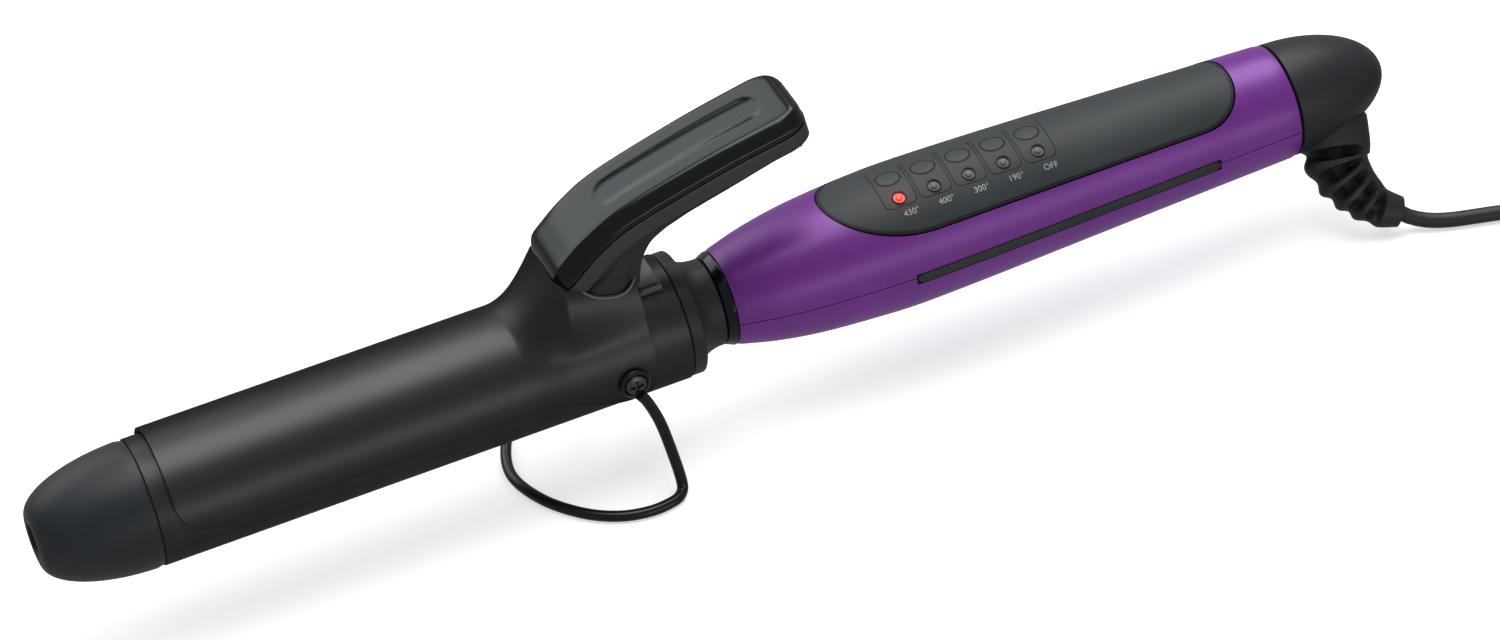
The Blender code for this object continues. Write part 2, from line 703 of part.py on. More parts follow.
def build_indicators(lit, unlit):
    for k, x in enumerate(BUTTON_X, 1):
        lathe(f"indicator_{k}", led_profile(LED_R, -0.0030, 0.0), led_place(x), lit if k == 1 else unlit, 16)


def build_electronics(board_mat, metal_mat, dark_mat):
    board_top = AXIS_Z + 0.0080
    boxes("circuit_board", [((0.0340, -0.0095, board_top - 0.0014), (0.1320, 0.0095, board_top))], board_mat)
    for k, x in enumerate(BUTTON_X, 1):
        high = handle_point(x, 0.0).z - 0.0035 - 0.0012
        boxes(f"key_switch_{k}", [((x - 0.0030, -0.0025, board_top + GAP), (x + 0.0030, 0.0040, high))], dark_mat)
    boxes("triac_heatsink", [((0.1000, -0.0060, board_top - 0.0110), (0.1180, 0.0060, board_top - 0.0017))],
          metal_mat)
    can = [(0.0, 0.0), (0.0, 0.0045), (0.0160, 0.0045), (0.0160, 0.0)]
    lathe("smoothing_capacitor", can, around_x(0.0700, 0.0, AXIS_Z + 0.0015), dark_mat, 18)


def build_handle_screws(mat, sites):
    for k, x in enumerate(sites, 1):
        surface = handle_point(x, math.pi).z
        head_low = surface + 0.0008
        profile = [(0.0, 0.0), (0.0, 0.0020), (0.0009, 0.0020), (0.0009, 0.0010), (0.0060, 0.0010), (0.0060, 0.0)]
        lathe(f"handle_screw_{k}", profile, around_z(x, 0.0, head_low), mat, 16)


def screw_sinks(mat, sites):
    bm = bmesh.new()
    for x in sites:
        surface = handle_point(x, math.pi).z
        profile = [(-0.0030, 0.0), (-0.0030, 0.0023), (0.0019, 0.0023), (0.0019, 0.0013), (0.0070, 0.0013),
                   (0.0070, 0.0)]
        add_lathe(bm, profile, around_z(x, 0.0, surface), 16)
    return mesh_object("screw_sinks", bm, mat)


# ---- cord end -----------------------------------------------------------
def cap_profile(grow):
    """Outline of the rounded end cap from its seam to its end point."""
    points = []
    for k in range(12):
        angle = math.radians(90) * k / 11
        points.append((CAP_X[0] - grow + (CAP_X[1] - CAP_X[0] + 2 * grow) * math.sin(angle),
                       (CAP_R + grow) * math.cos(angle) if k < 11 else 0.0))
    return points


def build_end_cap(mat):
    spigot = [(0.1440, 0.0), (0.1440, SWIVEL_R), (CAP_X[0], SWIVEL_R)]
    lathe("end_cap", spigot + cap_profile(0.0), around_x(0.0), mat)


def build_swivel_socket(mat):
    """Ring held in the handle's end, in which the cord end turns."""
    ring = [(0.1415, SWIVEL_R + GAP), (0.1415, 0.0124), (0.1495, 0.0124), (0.1495, SWIVEL_R + GAP)]
    lathe("swivel_socket", ring, around_x(0.0), mat, 32)


def build_strain_relief(mat):
    down = Vector((0.0, -math.sin(RELIEF_SWING), -math.cos(RELIEF_SWING)))
    along = Vector((1.0, 0.0, 0.0))
    side = along.cross(down)
    line = [along * x + down * d for x, d in RELIEF_LINE]
    route = smooth_route(line, 0.0021)
    halves = smooth_route([(a, b, 0.0) for a, b in RELIEF_HALF], 0.0002)
    rings = []
    total = len(route) - 1
    for k, place in enumerate(route):
        ahead = (route[min(k + 1, total)] - route[max(k - 1, 0)]).normalized()
        flat = ahead.cross(side).normalized()
        across = halves[round(k / total * (len(halves) - 1))]
        ring = []
        for n in range(20):
            t = math.tau * n / 20
            ring.append(Vector((0, 0, AXIS_Z)) + place + flat * across.x * math.cos(t)
                        + side * across.y * math.sin(t))
        rings.append(ring)
    obj = loft("strain_relief", rings, mat)
    room = lathe("cap_room", [(CAP_X[0] - 0.004, 0.0), (CAP_X[0] - 0.004, CAP_R + GAP)] + cap_profile(GAP),
                 around_x(0.0), mat)
    cut(obj, room)


# ---- cord ---------------------------------------------------------------
def cord_start():
    x, d = RELIEF_LINE[-1]
    return Vector((x, -d * math.sin(RELIEF_SWING), AXIS_Z - d * math.cos(RELIEF_SWING)))


def coil_band():
    """Inner and outer radius of the coil and the height of its top."""
    half = COIL_TURNS_WIDE * CORD_R
    return COIL_MEAN_R - half, COIL_MEAN_R + half, COIL_BASE + 2 * half


def coil_edge_point(angle, z, inset=CORD_R):
    radius = coil_band()[1] - inset
    return Vector((COIL_CENTRE[0] + radius * math.cos(angle), COIL_CENTRE[1] + radius * math.sin(angle), z))


def build_cord(mat):
    """From the strain relief along the table to the coil, and from the coil to the plug."""
    start = cord_start()
    ahead = Vector((0.70, -0.46, -0.54))
    lead_end = coil_edge_point(COIL_IN, COIL_BASE + CORD_R, -CORD_R - GAP)
    lead = [start + ahead * 2 * GAP] + list(CORD_LEAD) + [lead_end]
    tube("cord_lead", smooth_route(lead, 0.0045), CORD_R, mat)
    tail_start = coil_edge_point(COIL_OUT, coil_band()[2] - CORD_R, -CORD_R - GAP)
    tail = [tail_start] + list(CORD_TAIL)
    tail += [Vector(PLUG_FACE) - Vector((back, 0.0, 0.0)) for back in (0.0050, 2 * GAP)]
    tube("cord_tail", smooth_route(tail, 0.0045), CORD_R, mat)


def build_coil(mat):
    inner, outer, top = coil_band()
    bevel = 0.0012
    ring = [(COIL_BASE, inner + bevel), (COIL_BASE, outer - bevel), (COIL_BASE + bevel, outer),
            (top - bevel, outer), (top, outer - bevel), (top, inner + bevel), (top - bevel, inner),
            (COIL_BASE + bevel, inner)]
    lathe("cord_coil", ring, around_z(*COIL_CENTRE, 0.0), mat, 32)


def build_tie(mat):
    """A strap closed round the coil's turns."""
    inner, outer, top = coil_band()
    out = Vector((math.cos(TIE_AT), math.sin(TIE_AT), 0.0))
    across = Vector((-out.y, out.x, 0.0))
    centre = Vector((*COIL_CENTRE, 0.0))
    slack = 0.00025
    hole = ((inner - 0.0012, COIL_BASE - slack), (outer + 0.0006, top + slack))
    rings = []
    for grow in (0.0, TIE_SHEET):
        for side in ((-1, 1) if grow == 0.0 else (1, -1)):
            ring = []
            low = (hole[0][0] - grow, hole[0][1] - grow)
            high = (hole[1][0] + grow, hole[1][1] + grow)
            for r, z in ((low[0], low[1]), (high[0], low[1]), (high[0], high[1]), (low[0], high[1])):
                ring.append(centre + out * r + across * side * TIE_WIDTH / 2 + Vector((0.0, 0.0, z)))
            rings.append(ring)
    loft("cord_tie", rings, mat, closed=True)


def build_plug(body_mat, blade_mat):
    x, y, z = PLUG_FACE
    length, width, thick = PLUG_SIZE
    rings = []
    for share, wide, high in ((0.0, 0.30, 0.46), (0.10, 0.34, 0.52), (0.34, 0.62, 0.80), (0.55, 0.92, 0.98),
                              (0.62, 1.00, 1.00), (0.96, 1.00, 1.00), (1.0, 0.94, 0.92)):
        ring = []
        for k in range(20):
            t = math.tau * k / 20
            c, s = math.cos(t), math.sin(t)
            bulge = (abs(c) ** 5 + abs(s) ** 5) ** (-1 / 5)
            ring.append((x + length * share, y + 0.5 * width * wide * c * bulge, z + 0.5 * thick * high * s * bulge))
        rings.append(ring)
    loft("plug_body", rings, body_mat)
    first = x + length + GAP
    for name, side in (("plug_blade_near", -1), ("plug_blade_far", 1)):
        middle = y + side * BLADE_PITCH / 2
        boxes(name, [((first, middle - BLADE[1] / 2, z - BLADE[2] / 2),
                      (first + BLADE[0], middle + BLADE[1] / 2, z + BLADE[2] / 2))], blade_mat)


def main():
    for obj in list(bpy.data.objects):
        bpy.data.objects.remove(obj)
    bronze = material("bronze_coating", (0.050, 0.036, 0.030), 0.38, 1.0)
    satin = material("clamp_satin", (0.075, 0.078, 0.078), 0.42, 1.0)
    matte = material("matte_black", (0.030, 0.033, 0.036), 0.60)
    gloss = material("gloss_black", (0.008, 0.009, 0.010), 0.12)
    purple = material("purple_metallic", (0.150, 0.032, 0.300), 0.35, 0.6)
    panel_grey = material("panel_grey", (0.085, 0.095, 0.095), 0.45)
    strip = material("strip_green_grey", (0.035, 0.045, 0.040), 0.70)
    steel = material("screw_steel", (0.55, 0.55, 0.55), 0.30, 1.0)
    wire = material("wire_black", (0.012, 0.013, 0.014), 0.30)
    aluminium = material("aluminium", (0.80, 0.80, 0.80), 0.35, 1.0)
    ceramic = material("white_ceramic", (0.80, 0.78, 0.72), 0.70)
    lit = material("indicator_red", (1.0, 0.12, 0.06), 0.40, glow=2.0)
    unlit = material("indicator_grey", (0.30, 0.31, 0.31), 0.40)
    board = material("board_green", (0.03, 0.18, 0.08), 0.50)
    cord_black = material("cord_black", (0.025, 0.027, 0.030), 0.55)
    brass = material("blade_brass", (0.78, 0.62, 0.32), 0.30, 1.0)

    pivot_drill = lathe("pivot_drill", [(-0.03, 0.0), (-0.03, PIVOT_HOLE_R), (0.03, PIVOT_HOLE_R), (0.03, 0.0)],
                        around_y(PIVOT_X, 0.0, AXIS_Z), matte, 16)
    build_cool_tip(matte)
    build_tip_screw(steel)
    build_barrel(bronze, pivot_drill)
    build_heater(aluminium, ceramic)
    build_thermostat(ceramic)
    build_barrel_collar(ceramic, pivot_drill)
    build_leads(ceramic)

    build_clamp_plate(satin, pivot_drill)
    build_thumb_lever(gloss)
    build_lever_arm(matte)
    build_clamp_spring(steel)
    build_spring_bracket(matte)

    build_pivot_screws(steel)
    build_stand_bosses(satin)
    build_wire_stand(wire)

    build_neck(matte)
    build_accent_ring(gloss)
    screw_sites = (0.0260, 0.1340)
    strips = strip_cutter(matte)
    opening = panel_slab("panel_opening", 0.0, 0.0030, -0.0040, matte)
    build_handle_shell("handle_upper", 0.0, purple, (strips, opening))
    build_handle_shell("handle_lower", math.pi, purple, (strips, screw_sinks(matte, screw_sites)))
    build_handle_screws(steel, screw_sites)
    build_grip_strips(strip)
    build_panel(panel_grey, panel_drills(matte))
    build_buttons(panel_grey)
    build_indicators(lit, unlit)
    build_electronics(board, aluminium, gloss)

    build_swivel_socket(matte)
    build_end_cap(matte)
    build_strain_relief(matte)
    build_cord(cord_black)
    build_coil(cord_black)
    build_tie(matte)
    build_plug(cord_black, brass)


if __name__ == "__main__":
    main()
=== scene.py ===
"""Looks of the curling iron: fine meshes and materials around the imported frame, camera and light."""
import json
import math

import bmesh
import bpy
from mathutils import Matrix, Vector


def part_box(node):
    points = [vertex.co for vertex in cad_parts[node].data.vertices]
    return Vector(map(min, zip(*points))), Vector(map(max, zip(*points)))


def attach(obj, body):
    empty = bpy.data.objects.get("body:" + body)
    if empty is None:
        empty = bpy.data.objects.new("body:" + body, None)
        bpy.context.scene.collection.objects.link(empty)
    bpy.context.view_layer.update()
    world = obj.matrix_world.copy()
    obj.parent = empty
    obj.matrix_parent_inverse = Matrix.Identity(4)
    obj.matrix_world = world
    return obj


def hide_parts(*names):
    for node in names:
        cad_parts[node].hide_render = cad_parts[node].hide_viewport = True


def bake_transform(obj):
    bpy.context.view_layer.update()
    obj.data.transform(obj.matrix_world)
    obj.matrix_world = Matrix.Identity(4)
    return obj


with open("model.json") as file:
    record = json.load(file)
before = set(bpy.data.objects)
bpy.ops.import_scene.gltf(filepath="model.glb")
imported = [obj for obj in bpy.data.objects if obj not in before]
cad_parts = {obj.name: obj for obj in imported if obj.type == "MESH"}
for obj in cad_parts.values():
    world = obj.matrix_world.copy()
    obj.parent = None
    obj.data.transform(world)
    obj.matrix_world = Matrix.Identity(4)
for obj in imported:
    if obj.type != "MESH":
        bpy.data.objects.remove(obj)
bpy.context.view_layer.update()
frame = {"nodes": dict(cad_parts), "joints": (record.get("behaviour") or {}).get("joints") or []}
NODES = frame["nodes"]
PIVOT = Vector(next(j for j in frame["joints"] if j["name"] == "clamp_hinge")["pos_m"])
SEAM = Vector(next(j for j in frame["joints"] if j["name"] == "cord_swivel")["pos_m"])
AXIS_Z = PIVOT.z
UP = Vector((0.0, 0.0, 1.0))
SIDES = (("near", -1), ("far", 1))
RIGHT_ANGLE = math.radians(90)
FINE = 96
GAP = 0.0003                # between neighbouring mouldings
ON_AXIS = 1e-7


# ---- camera, light and floor --------------------------------------------
VIEW_PLACE = (-0.327, -0.975, 0.901)
VIEW_RIGHT = Vector((0.9133, -0.3962, -0.0947)).normalized()
VIEW_UP = Vector((0.3252, 0.5692, 0.7552))
LENS_MM = 132.0
FLOOR_REACH = 3.0
SKY_STRENGTH = 0.38
SOFTBOXES = (
    # name, place, aim, size, power
    ("overhead_softbox", (0.38, 0.32, 1.45), (0.05, 0.0, 0.03), (0.9, 1.9), 36.0),
    ("far_softbox", (-0.58, 1.25, 1.02), (-0.03, 0.0, 0.06), (1.5, 1.15), 15.5),
    ("near_softbox", (0.31, -1.20, 0.14), (0.0, 0.0, 0.04), (1.0, 0.26), 3.4),
)


def add_object(name, data):
    obj = bpy.data.objects.new(name, data)
    bpy.context.scene.collection.objects.link(obj)
    return obj


def fill(node, **values):
    """Set a node's inputs by name, with _ for each space in the name."""
    for name, value in values.items():
        node.inputs[name.replace("_", " ")].default_value = value
    return node


def build_camera():
    """The photograph's viewpoint: from above the near side of the tip end, with a long lens."""
    data = bpy.data.cameras.new("camera")
    data.sensor_width = 36.0
    data.lens = LENS_MM
    data.clip_end = 20.0
    cam = add_object("camera", data)
    up = (VIEW_UP - VIEW_RIGHT * VIEW_UP.dot(VIEW_RIGHT)).normalized()
    turn = Matrix((VIEW_RIGHT, up, VIEW_RIGHT.cross(up))).transposed().to_4x4()
    cam.matrix_world = Matrix.Translation(VIEW_PLACE) @ turn
    bpy.context.scene.camera = cam


def build_stage():
    """A plain pale floor that the part's gloss doesn't show."""
    mesh = bpy.data.meshes.new("floor")
    corners = [(x * FLOOR_REACH, y * FLOOR_REACH, 0) for x, y in ((-1, -1), (1, -1), (1, 1), (-1, 1))]
    mesh.from_pydata(corners, [], [(0, 1, 2, 3)])
    floor = add_object("floor", mesh)
    mat = bpy.data.materials.new("floor_white")
    mat.use_nodes = True
    fill(mat.node_tree.nodes["Principled BSDF"], Base_Color=(0.62, 0.62, 0.62, 1.0), Roughness=0.9,
         Emission_Color=(1.0, 1.0, 1.0, 1.0), Emission_Strength=0.55, Specular_IOR_Level=0.1)
    mesh.materials.append(mat)
    floor.visible_glossy = False


def build_light():
    world = bpy.data.worlds.new("studio")
    world.use_nodes = True
    fill(world.node_tree.nodes["Background"], Color=(1.0, 1.0, 1.0, 1.0), Strength=SKY_STRENGTH)
    bpy.context.scene.world = world
    for name, place, aim, size, power in SOFTBOXES:
        data = bpy.data.lights.new(name, "AREA")
        data.shape = "RECTANGLE"
        data.size, data.size_y = size
        data.energy = power
        lamp = add_object(name, data)
        lamp.location = place
        lamp.rotation_euler = (Vector(aim) - Vector(place)).to_track_quat("-Z", "Y").to_euler()
    bpy.context.scene.view_settings.view_transform = "Standard"


# ---- materials ----------------------------------------------------------
GRAIN_SHARE = 0.25          # of a tone, the rest is from the slow drift
GRAIN_DEPTH = 0.0002
WEAR = 0.10                 # how far roughness drifts either way
TONE_STOPS = (0.30, 0.72)
COATED = (0.1, 0.1, 0.1)    # specular tint of coated metal, to keep its edges from flaring
# name: darker tone, lighter tone, roughness, and what differs from surface()'s own values
LOOK_SETTINGS = {
    "matte_black": ((0.0075, 0.0092, 0.0110), (0.0120, 0.0143, 0.0165), 0.47,
        dict(speck=2600, bump=0.20, specular=0.23)),
    "satin_black": ((0.0135, 0.0155, 0.0165), (0.0195, 0.0222, 0.0236), 0.40,
        dict(speck=2600, bump=0.14, specular=0.34)),
    "cool_tip": ((0.0075, 0.0098, 0.0122), (0.0122, 0.0155, 0.0188), 0.47,
        dict(speck=2400, bump=0.20, specular=0.23)),
    "bronze_barrel": ((0.031, 0.0294, 0.0282), (0.043, 0.0410, 0.0394), 0.40,
        dict(metallic=0.72, speck=1500, bump=0.05, stretch=(3.0, 1.0, 1.0), specular=0.3, tint=COATED)),
    "clamp_satin": ((0.031, 0.033, 0.0325), (0.040, 0.042, 0.0415), 0.40,
        dict(metallic=0.85, speck=2200, bump=0.06, stretch=(0.6, 1.0, 1.0), drift=40.0, specular=0.3,
             tint=COATED)),
    "gloss_black": ((0.0015, 0.0018, 0.0020), (0.0026, 0.0031, 0.0034), 0.19,
        dict(speck=700, bump=0.008, specular=0.29, tint=(0.84, 0.95, 1.0))),
    "purple_metallic": ((0.094, 0.0130, 0.154), (0.118, 0.0180, 0.190), 0.38,
        dict(metallic=0.20, speck=4200, bump=0.06, specular=0.33)),
    "panel_grey": ((0.015, 0.0185, 0.0205), (0.021, 0.0250, 0.0275), 0.58,
        dict(speck=3000, bump=0.10, specular=0.27)),
    "button_grey": ((0.015, 0.0185, 0.0205), (0.021, 0.0250, 0.0275), 0.55,
        dict(speck=3000, bump=0.12, specular=0.29)),
    "line_dark": ((0.004, 0.005, 0.0055), (0.007, 0.008, 0.009), 0.55,
        dict(speck=1500, bump=0.05, specular=0.2)),
    "label_print": ((0.19, 0.21, 0.22), (0.26, 0.28, 0.29), 0.55,
        dict(speck=3500, bump=0.05)),
    "strip_rubber": ((0.011, 0.015, 0.013), (0.018, 0.022, 0.020), 0.62,
        dict(speck=1800, bump=0.20, specular=0.25)),
    "wire_black": ((0.003, 0.0035, 0.004), (0.006, 0.0065, 0.007), 0.25,
        dict(speck=900, bump=0.05, specular=0.25)),
    "screw_steel": ((0.22, 0.22, 0.21), (0.33, 0.33, 0.32), 0.33,
        dict(metallic=1.0, speck=1600, bump=0.12)),
    "screw_dark": ((0.060, 0.056, 0.052), (0.090, 0.085, 0.080), 0.34,
        dict(metallic=0.9, speck=1800, bump=0.12)),
    # painted highlight: a lighter steel that stands in for the light caught on the spring bracket's ribs and
    # on the rim of the clamp's opening
    "steel_painted_highlight": ((0.085, 0.088, 0.086), (0.120, 0.124, 0.121), 0.50,
        dict(metallic=0.6, speck=1800, bump=0.10, specular=0.4)),
    "aluminium": ((0.62, 0.62, 0.62), (0.72, 0.72, 0.72), 0.38,
        dict(metallic=1.0, stretch=(0.1, 1.0, 1.0))),
    "ceramic": ((0.70, 0.68, 0.62), (0.80, 0.78, 0.72), 0.65,
        dict(bump=0.10)),
    "indicator_lit": ((0.60, 0.030, 0.012), (0.72, 0.050, 0.020), 0.35,
        dict(bump=0.0)),
    "indicator_grey": ((0.052, 0.058, 0.058), (0.080, 0.088, 0.088), 0.44,
        dict(speck=2500, bump=0.05, specular=0.30)),
    "circuit_green": ((0.012, 0.12, 0.05), (0.02, 0.17, 0.07), 0.40,
        dict()),
    "cord_black": ((0.008, 0.0092, 0.0105), (0.014, 0.0160, 0.0178), 0.46,
        dict(speck=2200, bump=0.15, specular=0.25)),
    "blade_brass": ((0.62, 0.47, 0.22), (0.74, 0.58, 0.30), 0.28,
        dict(metallic=1.0, stretch=(0.2, 1.0, 1.0))),
}


def surface(name, dark, light, roughness, metallic=0.0, speck=900.0, bump=0.03, stretch=(1.0, 1.0, 1.0),
            drift=60.0, specular=0.5, tint=(1.0, 1.0, 1.0)):
    """A finish whose colour drifts between two tones, with a fine grain in its bump and roughness."""
    mat = bpy.data.materials.new(name)
    mat.use_nodes = True
    nodes, links = mat.node_tree.nodes, mat.node_tree.links
    shader = fill(nodes["Principled BSDF"], Metallic=metallic, Specular_IOR_Level=specular,
                  Specular_Tint=(*tint, 1.0))
    where = nodes.new("ShaderNodeTexCoord")
    scale = fill(nodes.new("ShaderNodeMapping"), Scale=stretch)
    links.new(where.outputs["Object"], scale.inputs["Vector"])
    slow = fill(nodes.new("ShaderNodeTexNoise"), Scale=drift, Detail=3.0)
    grain = fill(nodes.new("ShaderNodeTexNoise"), Scale=speck, Detail=4.0)
    for noise in (slow, grain):
        links.new(scale.outputs["Vector"], noise.inputs["Vector"])
    slow_part = nodes.new("ShaderNodeMath")
    slow_part.operation = "MULTIPLY"
    slow_part.inputs[1].default_value = 1 - GRAIN_SHARE
    links.new(slow.outputs["Fac"], slow_part.inputs[0])
    blend = nodes.new("ShaderNodeMath")
    blend.operation = "MULTIPLY_ADD"
    blend.inputs[1].default_value = GRAIN_SHARE
    links.new(grain.outputs["Fac"], blend.inputs[0])
    links.new(slow_part.outputs["Value"], blend.inputs[2])
    tones = nodes.new("ShaderNodeValToRGB")
    for stop, color, place in zip(tones.color_ramp.elements, (dark, light), TONE_STOPS):
        stop.color = (*color, 1.0)
        stop.position = place
    links.new(blend.outputs["Value"], tones.inputs["Fac"])
    links.new(tones.outputs["Color"], shader.inputs["Base Color"])
    rough = fill(nodes.new("ShaderNodeMapRange"), To_Min=roughness * (1 - WEAR),
                 To_Max=roughness * (1 + WEAR))
    links.new(grain.outputs["Fac"], rough.inputs["Value"])
    links.new(rough.outputs["Result"], shader.inputs["Roughness"])
    if bump:
        relief = fill(nodes.new("ShaderNodeBump"), Strength=bump, Distance=GRAIN_DEPTH)
        links.new(grain.outputs["Fac"], relief.inputs["Height"])
        links.new(relief.outputs["Normal"], shader.inputs["Normal"])
    return mat


def build_materials():
    looks = {name: surface(name, *tones, **more) for name, (*tones, more) in LOOK_SETTINGS.items()}
    fill(looks["indicator_lit"].node_tree.nodes["Principled BSDF"], Emission_Color=(1.0, 0.045, 0.018, 1.0),
         Emission_Strength=0.50)
    return looks


# ---- shape helpers ------------------------------------------------------
def mesh_from(name, bm):
    bmesh.ops.recalc_face_normals(bm, faces=bm.faces)
    mesh = bpy.data.meshes.new(name)
    bm.to_mesh(mesh)
    bm.free()
    return mesh


def finished_mesh(obj):
    """The object's mesh after its modifiers, or a curve's as a mesh."""
    bpy.context.view_layer.update()
    return bpy.data.meshes.new_from_object(obj.evaluated_get(bpy.context.evaluated_depsgraph_get()))


def piece(name, bm, look, body, slot, *replaced, sharp=35):
    return settle(name, mesh_from(name, bm), look, body, slot, *replaced, sharp=sharp)


def settle(name, mesh, look, body, slot, *replaced, sharp=35):
    """Link a finished mesh as a piece with its finish and body, and hide the CAD nodes that it stands for;
    the slot argument is not used.
    """
    obj = add_object(name, mesh)
    mesh.materials.append(LOOKS[look])
    mesh.shade_smooth()
    mesh.set_sharp_from_angle(angle=math.radians(sharp))
    if body:
        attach(obj, body)
    if replaced:
        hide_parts(*replaced)
    return obj


def add_loft(bm, rings):
    rows = [[bm.verts.new(point) for point in ring] for ring in rings]
    count = len(rows[0])
    for low, high in zip(rows, rows[1:]):
        for i in range(count):
            j = (i + 1) % count
            bm.faces.new((low[i], low[j], high[j], high[i]))
    bm.faces.new(rows[0][::-1])
    bm.faces.new(rows[-1])


def loft(rings):
    bm = bmesh.new()
    add_loft(bm, rings)
    return bm


def add_lathe(bm, profile, place, sides=FINE):
    rows = []
    for along, radius in profile:
        if radius < ON_AXIS:
            rows.append([bm.verts.new(place(along, 0.0, 0.0))])
        else:
            rows.append([bm.verts.new(place(along, radius, math.tau * k / sides)) for k in range(sides)])
    for low, high in zip(rows, rows[1:] + rows[:1]):
        if len(low) == 1 and len(high) == 1:
            continue
        for k in range(sides):
            j = (k + 1) % sides
            corners = [low[k % len(low)], low[j % len(low)], high[j % len(high)], high[k % len(high)]]
            bm.faces.new(list(dict.fromkeys(corners)))


def lathe(profile, place, sides=FINE):
    bm = bmesh.new()
    add_lathe(bm, profile, place, sides)
    return bm


def around_x(a, r, t):
    return Vector((a, r * math.sin(t), AXIS_Z + r * math.cos(t)))


def around_pivot(side):
    return lambda a, r, t: Vector((PIVOT.x + r * math.sin(t), side * a, PIVOT.z + r * math.cos(t)))


def spread(start, end, steps):
    """Values at even steps, both ends included."""
    return [start + (end - start) * k / steps for k in range(steps + 1)]


def quarter(steps):
    """Cosine and sine at even steps over a quarter turn."""
    return [(math.cos(angle), math.sin(angle)) for angle in spread(0.0, RIGHT_ANGLE, steps)]


def circle(sides):
    """Cosine and sine once round."""
    return [(math.cos(math.tau * k / sides), math.sin(math.tau * k / sides)) for k in range(sides)]


def bent_corner(start, corner, end, steps):
    return [tuple(start * (1 - t) ** 2 + corner * 2 * t * (1 - t) + end * t * t)
            for t in spread(0.0, 1.0, steps)]


def soften(profile, radius, steps=4):
    """Round every corner of a closed (along, radius) outline that is off the axis."""
    points = [Vector(p) for p in profile]
    out = []
    for before, here, after in zip(points[-1:] + points[:-1], points, points[1:] + points[:1]):
        if here.y < ON_AXIS:
            out.append(tuple(here))
            continue
        back, ahead = before - here, after - here
        reach = min(radius, 0.45 * back.length, 0.45 * ahead.length)
        turn = math.degrees(back.angle(-ahead)) if back.length and ahead.length else 0.0
        if turn < 20:
            out.append(tuple(here))
            continue
        out += bent_corner(here + back.normalized() * reach, here, here + ahead.normalized() * reach, steps)
    return out


def ease(t):
    t = min(1.0, max(0.0, t))
    return t * t * (3 - 2 * t)


def round_end(distance, radius, power=2.2):
    if distance >= radius:
        return 1.0
    return (1 - (1 - max(distance, 0.0) / radius) ** power) ** (1 / power)


def smooth_route(points, spacing):
    """Points at an even spacing along a smooth curve through the given points."""
    knots = [Vector(p) for p in points]
    knots = [2 * knots[0] - knots[1]] + knots + [2 * knots[-1] - knots[-2]]
    dense = []
    for a, b, c, d in zip(knots, knots[1:], knots[2:], knots[3:]):
        for step in range(24):
            t = step / 24
            dense.append(0.5 * (2 * b + (c - a) * t + (2 * a - 5 * b + 4 * c - d) * t * t
                                + (3 * b - a - 3 * c + d) * t ** 3))
    dense.append(knots[-2])
    lengths = [0.0]
    for a, b in zip(dense, dense[1:]):
        lengths.append(lengths[-1] + (b - a).length)
    count = max(2, round(lengths[-1] / spacing))
    route = []
    k = 0
    for n in range(count + 1):
        target = lengths[-1] * n / count
        while k < len(lengths) - 2 and lengths[k + 1] < target:
            k += 1
        span = lengths[k + 1] - lengths[k]
        route.append(dense[k].lerp(dense[k + 1], (target - lengths[k]) / span))
    return route


def tube(route, radius, sides):
    """A round tube along a route, turned no more than the route turns."""
    rings = []
    ahead = (route[1] - route[0]).normalized()
    across = ahead.cross(UP).normalized()
    total = len(route) - 1
    for k, place in enumerate(route):
        now = (route[min(k + 1, total)] - route[max(k - 1, 0)]).normalized()
        across = (across - now * across.dot(now)).normalized()
        other = now.cross(across)
        rings.append([place + across * radius * c + other * radius * s for c, s in circle(sides)])
    return loft(rings)


def bevel(obj, width, segments, angle=40):
    change = obj.modifiers.new("soft_edges", "BEVEL")
    change.width = width
    change.segments = segments
    change.limit_method = "ANGLE"
    change.angle_limit = math.radians(angle)
    change.harden_normals = False


def cut(obj, bm):
    """Cut a closed shape out of a piece, for good."""
    tool = add_object("cutter", mesh_from("cutter", bm))
    change = obj.modifiers.new("cut", "BOOLEAN")
    change.operation = "DIFFERENCE"
    change.object = tool
    result = finished_mesh(obj)
    obj.modifiers.remove(change)
    obj.data = result
    bpy.data.objects.remove(tool)
    result.shade_smooth()
    result.set_sharp_from_angle(angle=math.radians(30))


build_camera()
build_stage()
build_light()
LOOKS = build_materials()


# ---- cord: route, coil and tail -----------------------------------------
CORD_R = 0.0020
CORD_SHRINK = 0.00003                  # keeps turns of the coil from touching
RELIEF_SWING = math.radians(40.5)
RELIEF_DOWN = Vector((0.0, -math.sin(RELIEF_SWING), -math.cos(RELIEF_SWING)))
RELIEF_END = (0.1722, 0.0368)          # X, and distance from the iron's axis
CORD_LEAD = ((0.1745, -0.0254, 0.0038), (0.1786, -0.0276, 0.0026), (0.1837, -0.0296, 0.0021),
             (0.1897, -0.0315, 0.0021), (0.1959, -0.0334, 0.0021), (0.2070, -0.0373, 0.0021),
             (0.2190, -0.0422, 0.0022), (0.2300, -0.0468, 0.0025))
CORD_TAIL = ((0.2695, -0.0486, 0.0142), (0.2795, -0.0452, 0.0118), (0.2880, -0.0420, 0.0092))
PLUG_FACE = Vector((0.3010, -0.0400, 0.0072))
COIL_IN = math.radians(252)
COIL_OUT = math.radians(285)
CORD_STEP = 0.0025
TURNS_WIDE = 4
LAYERS = 4


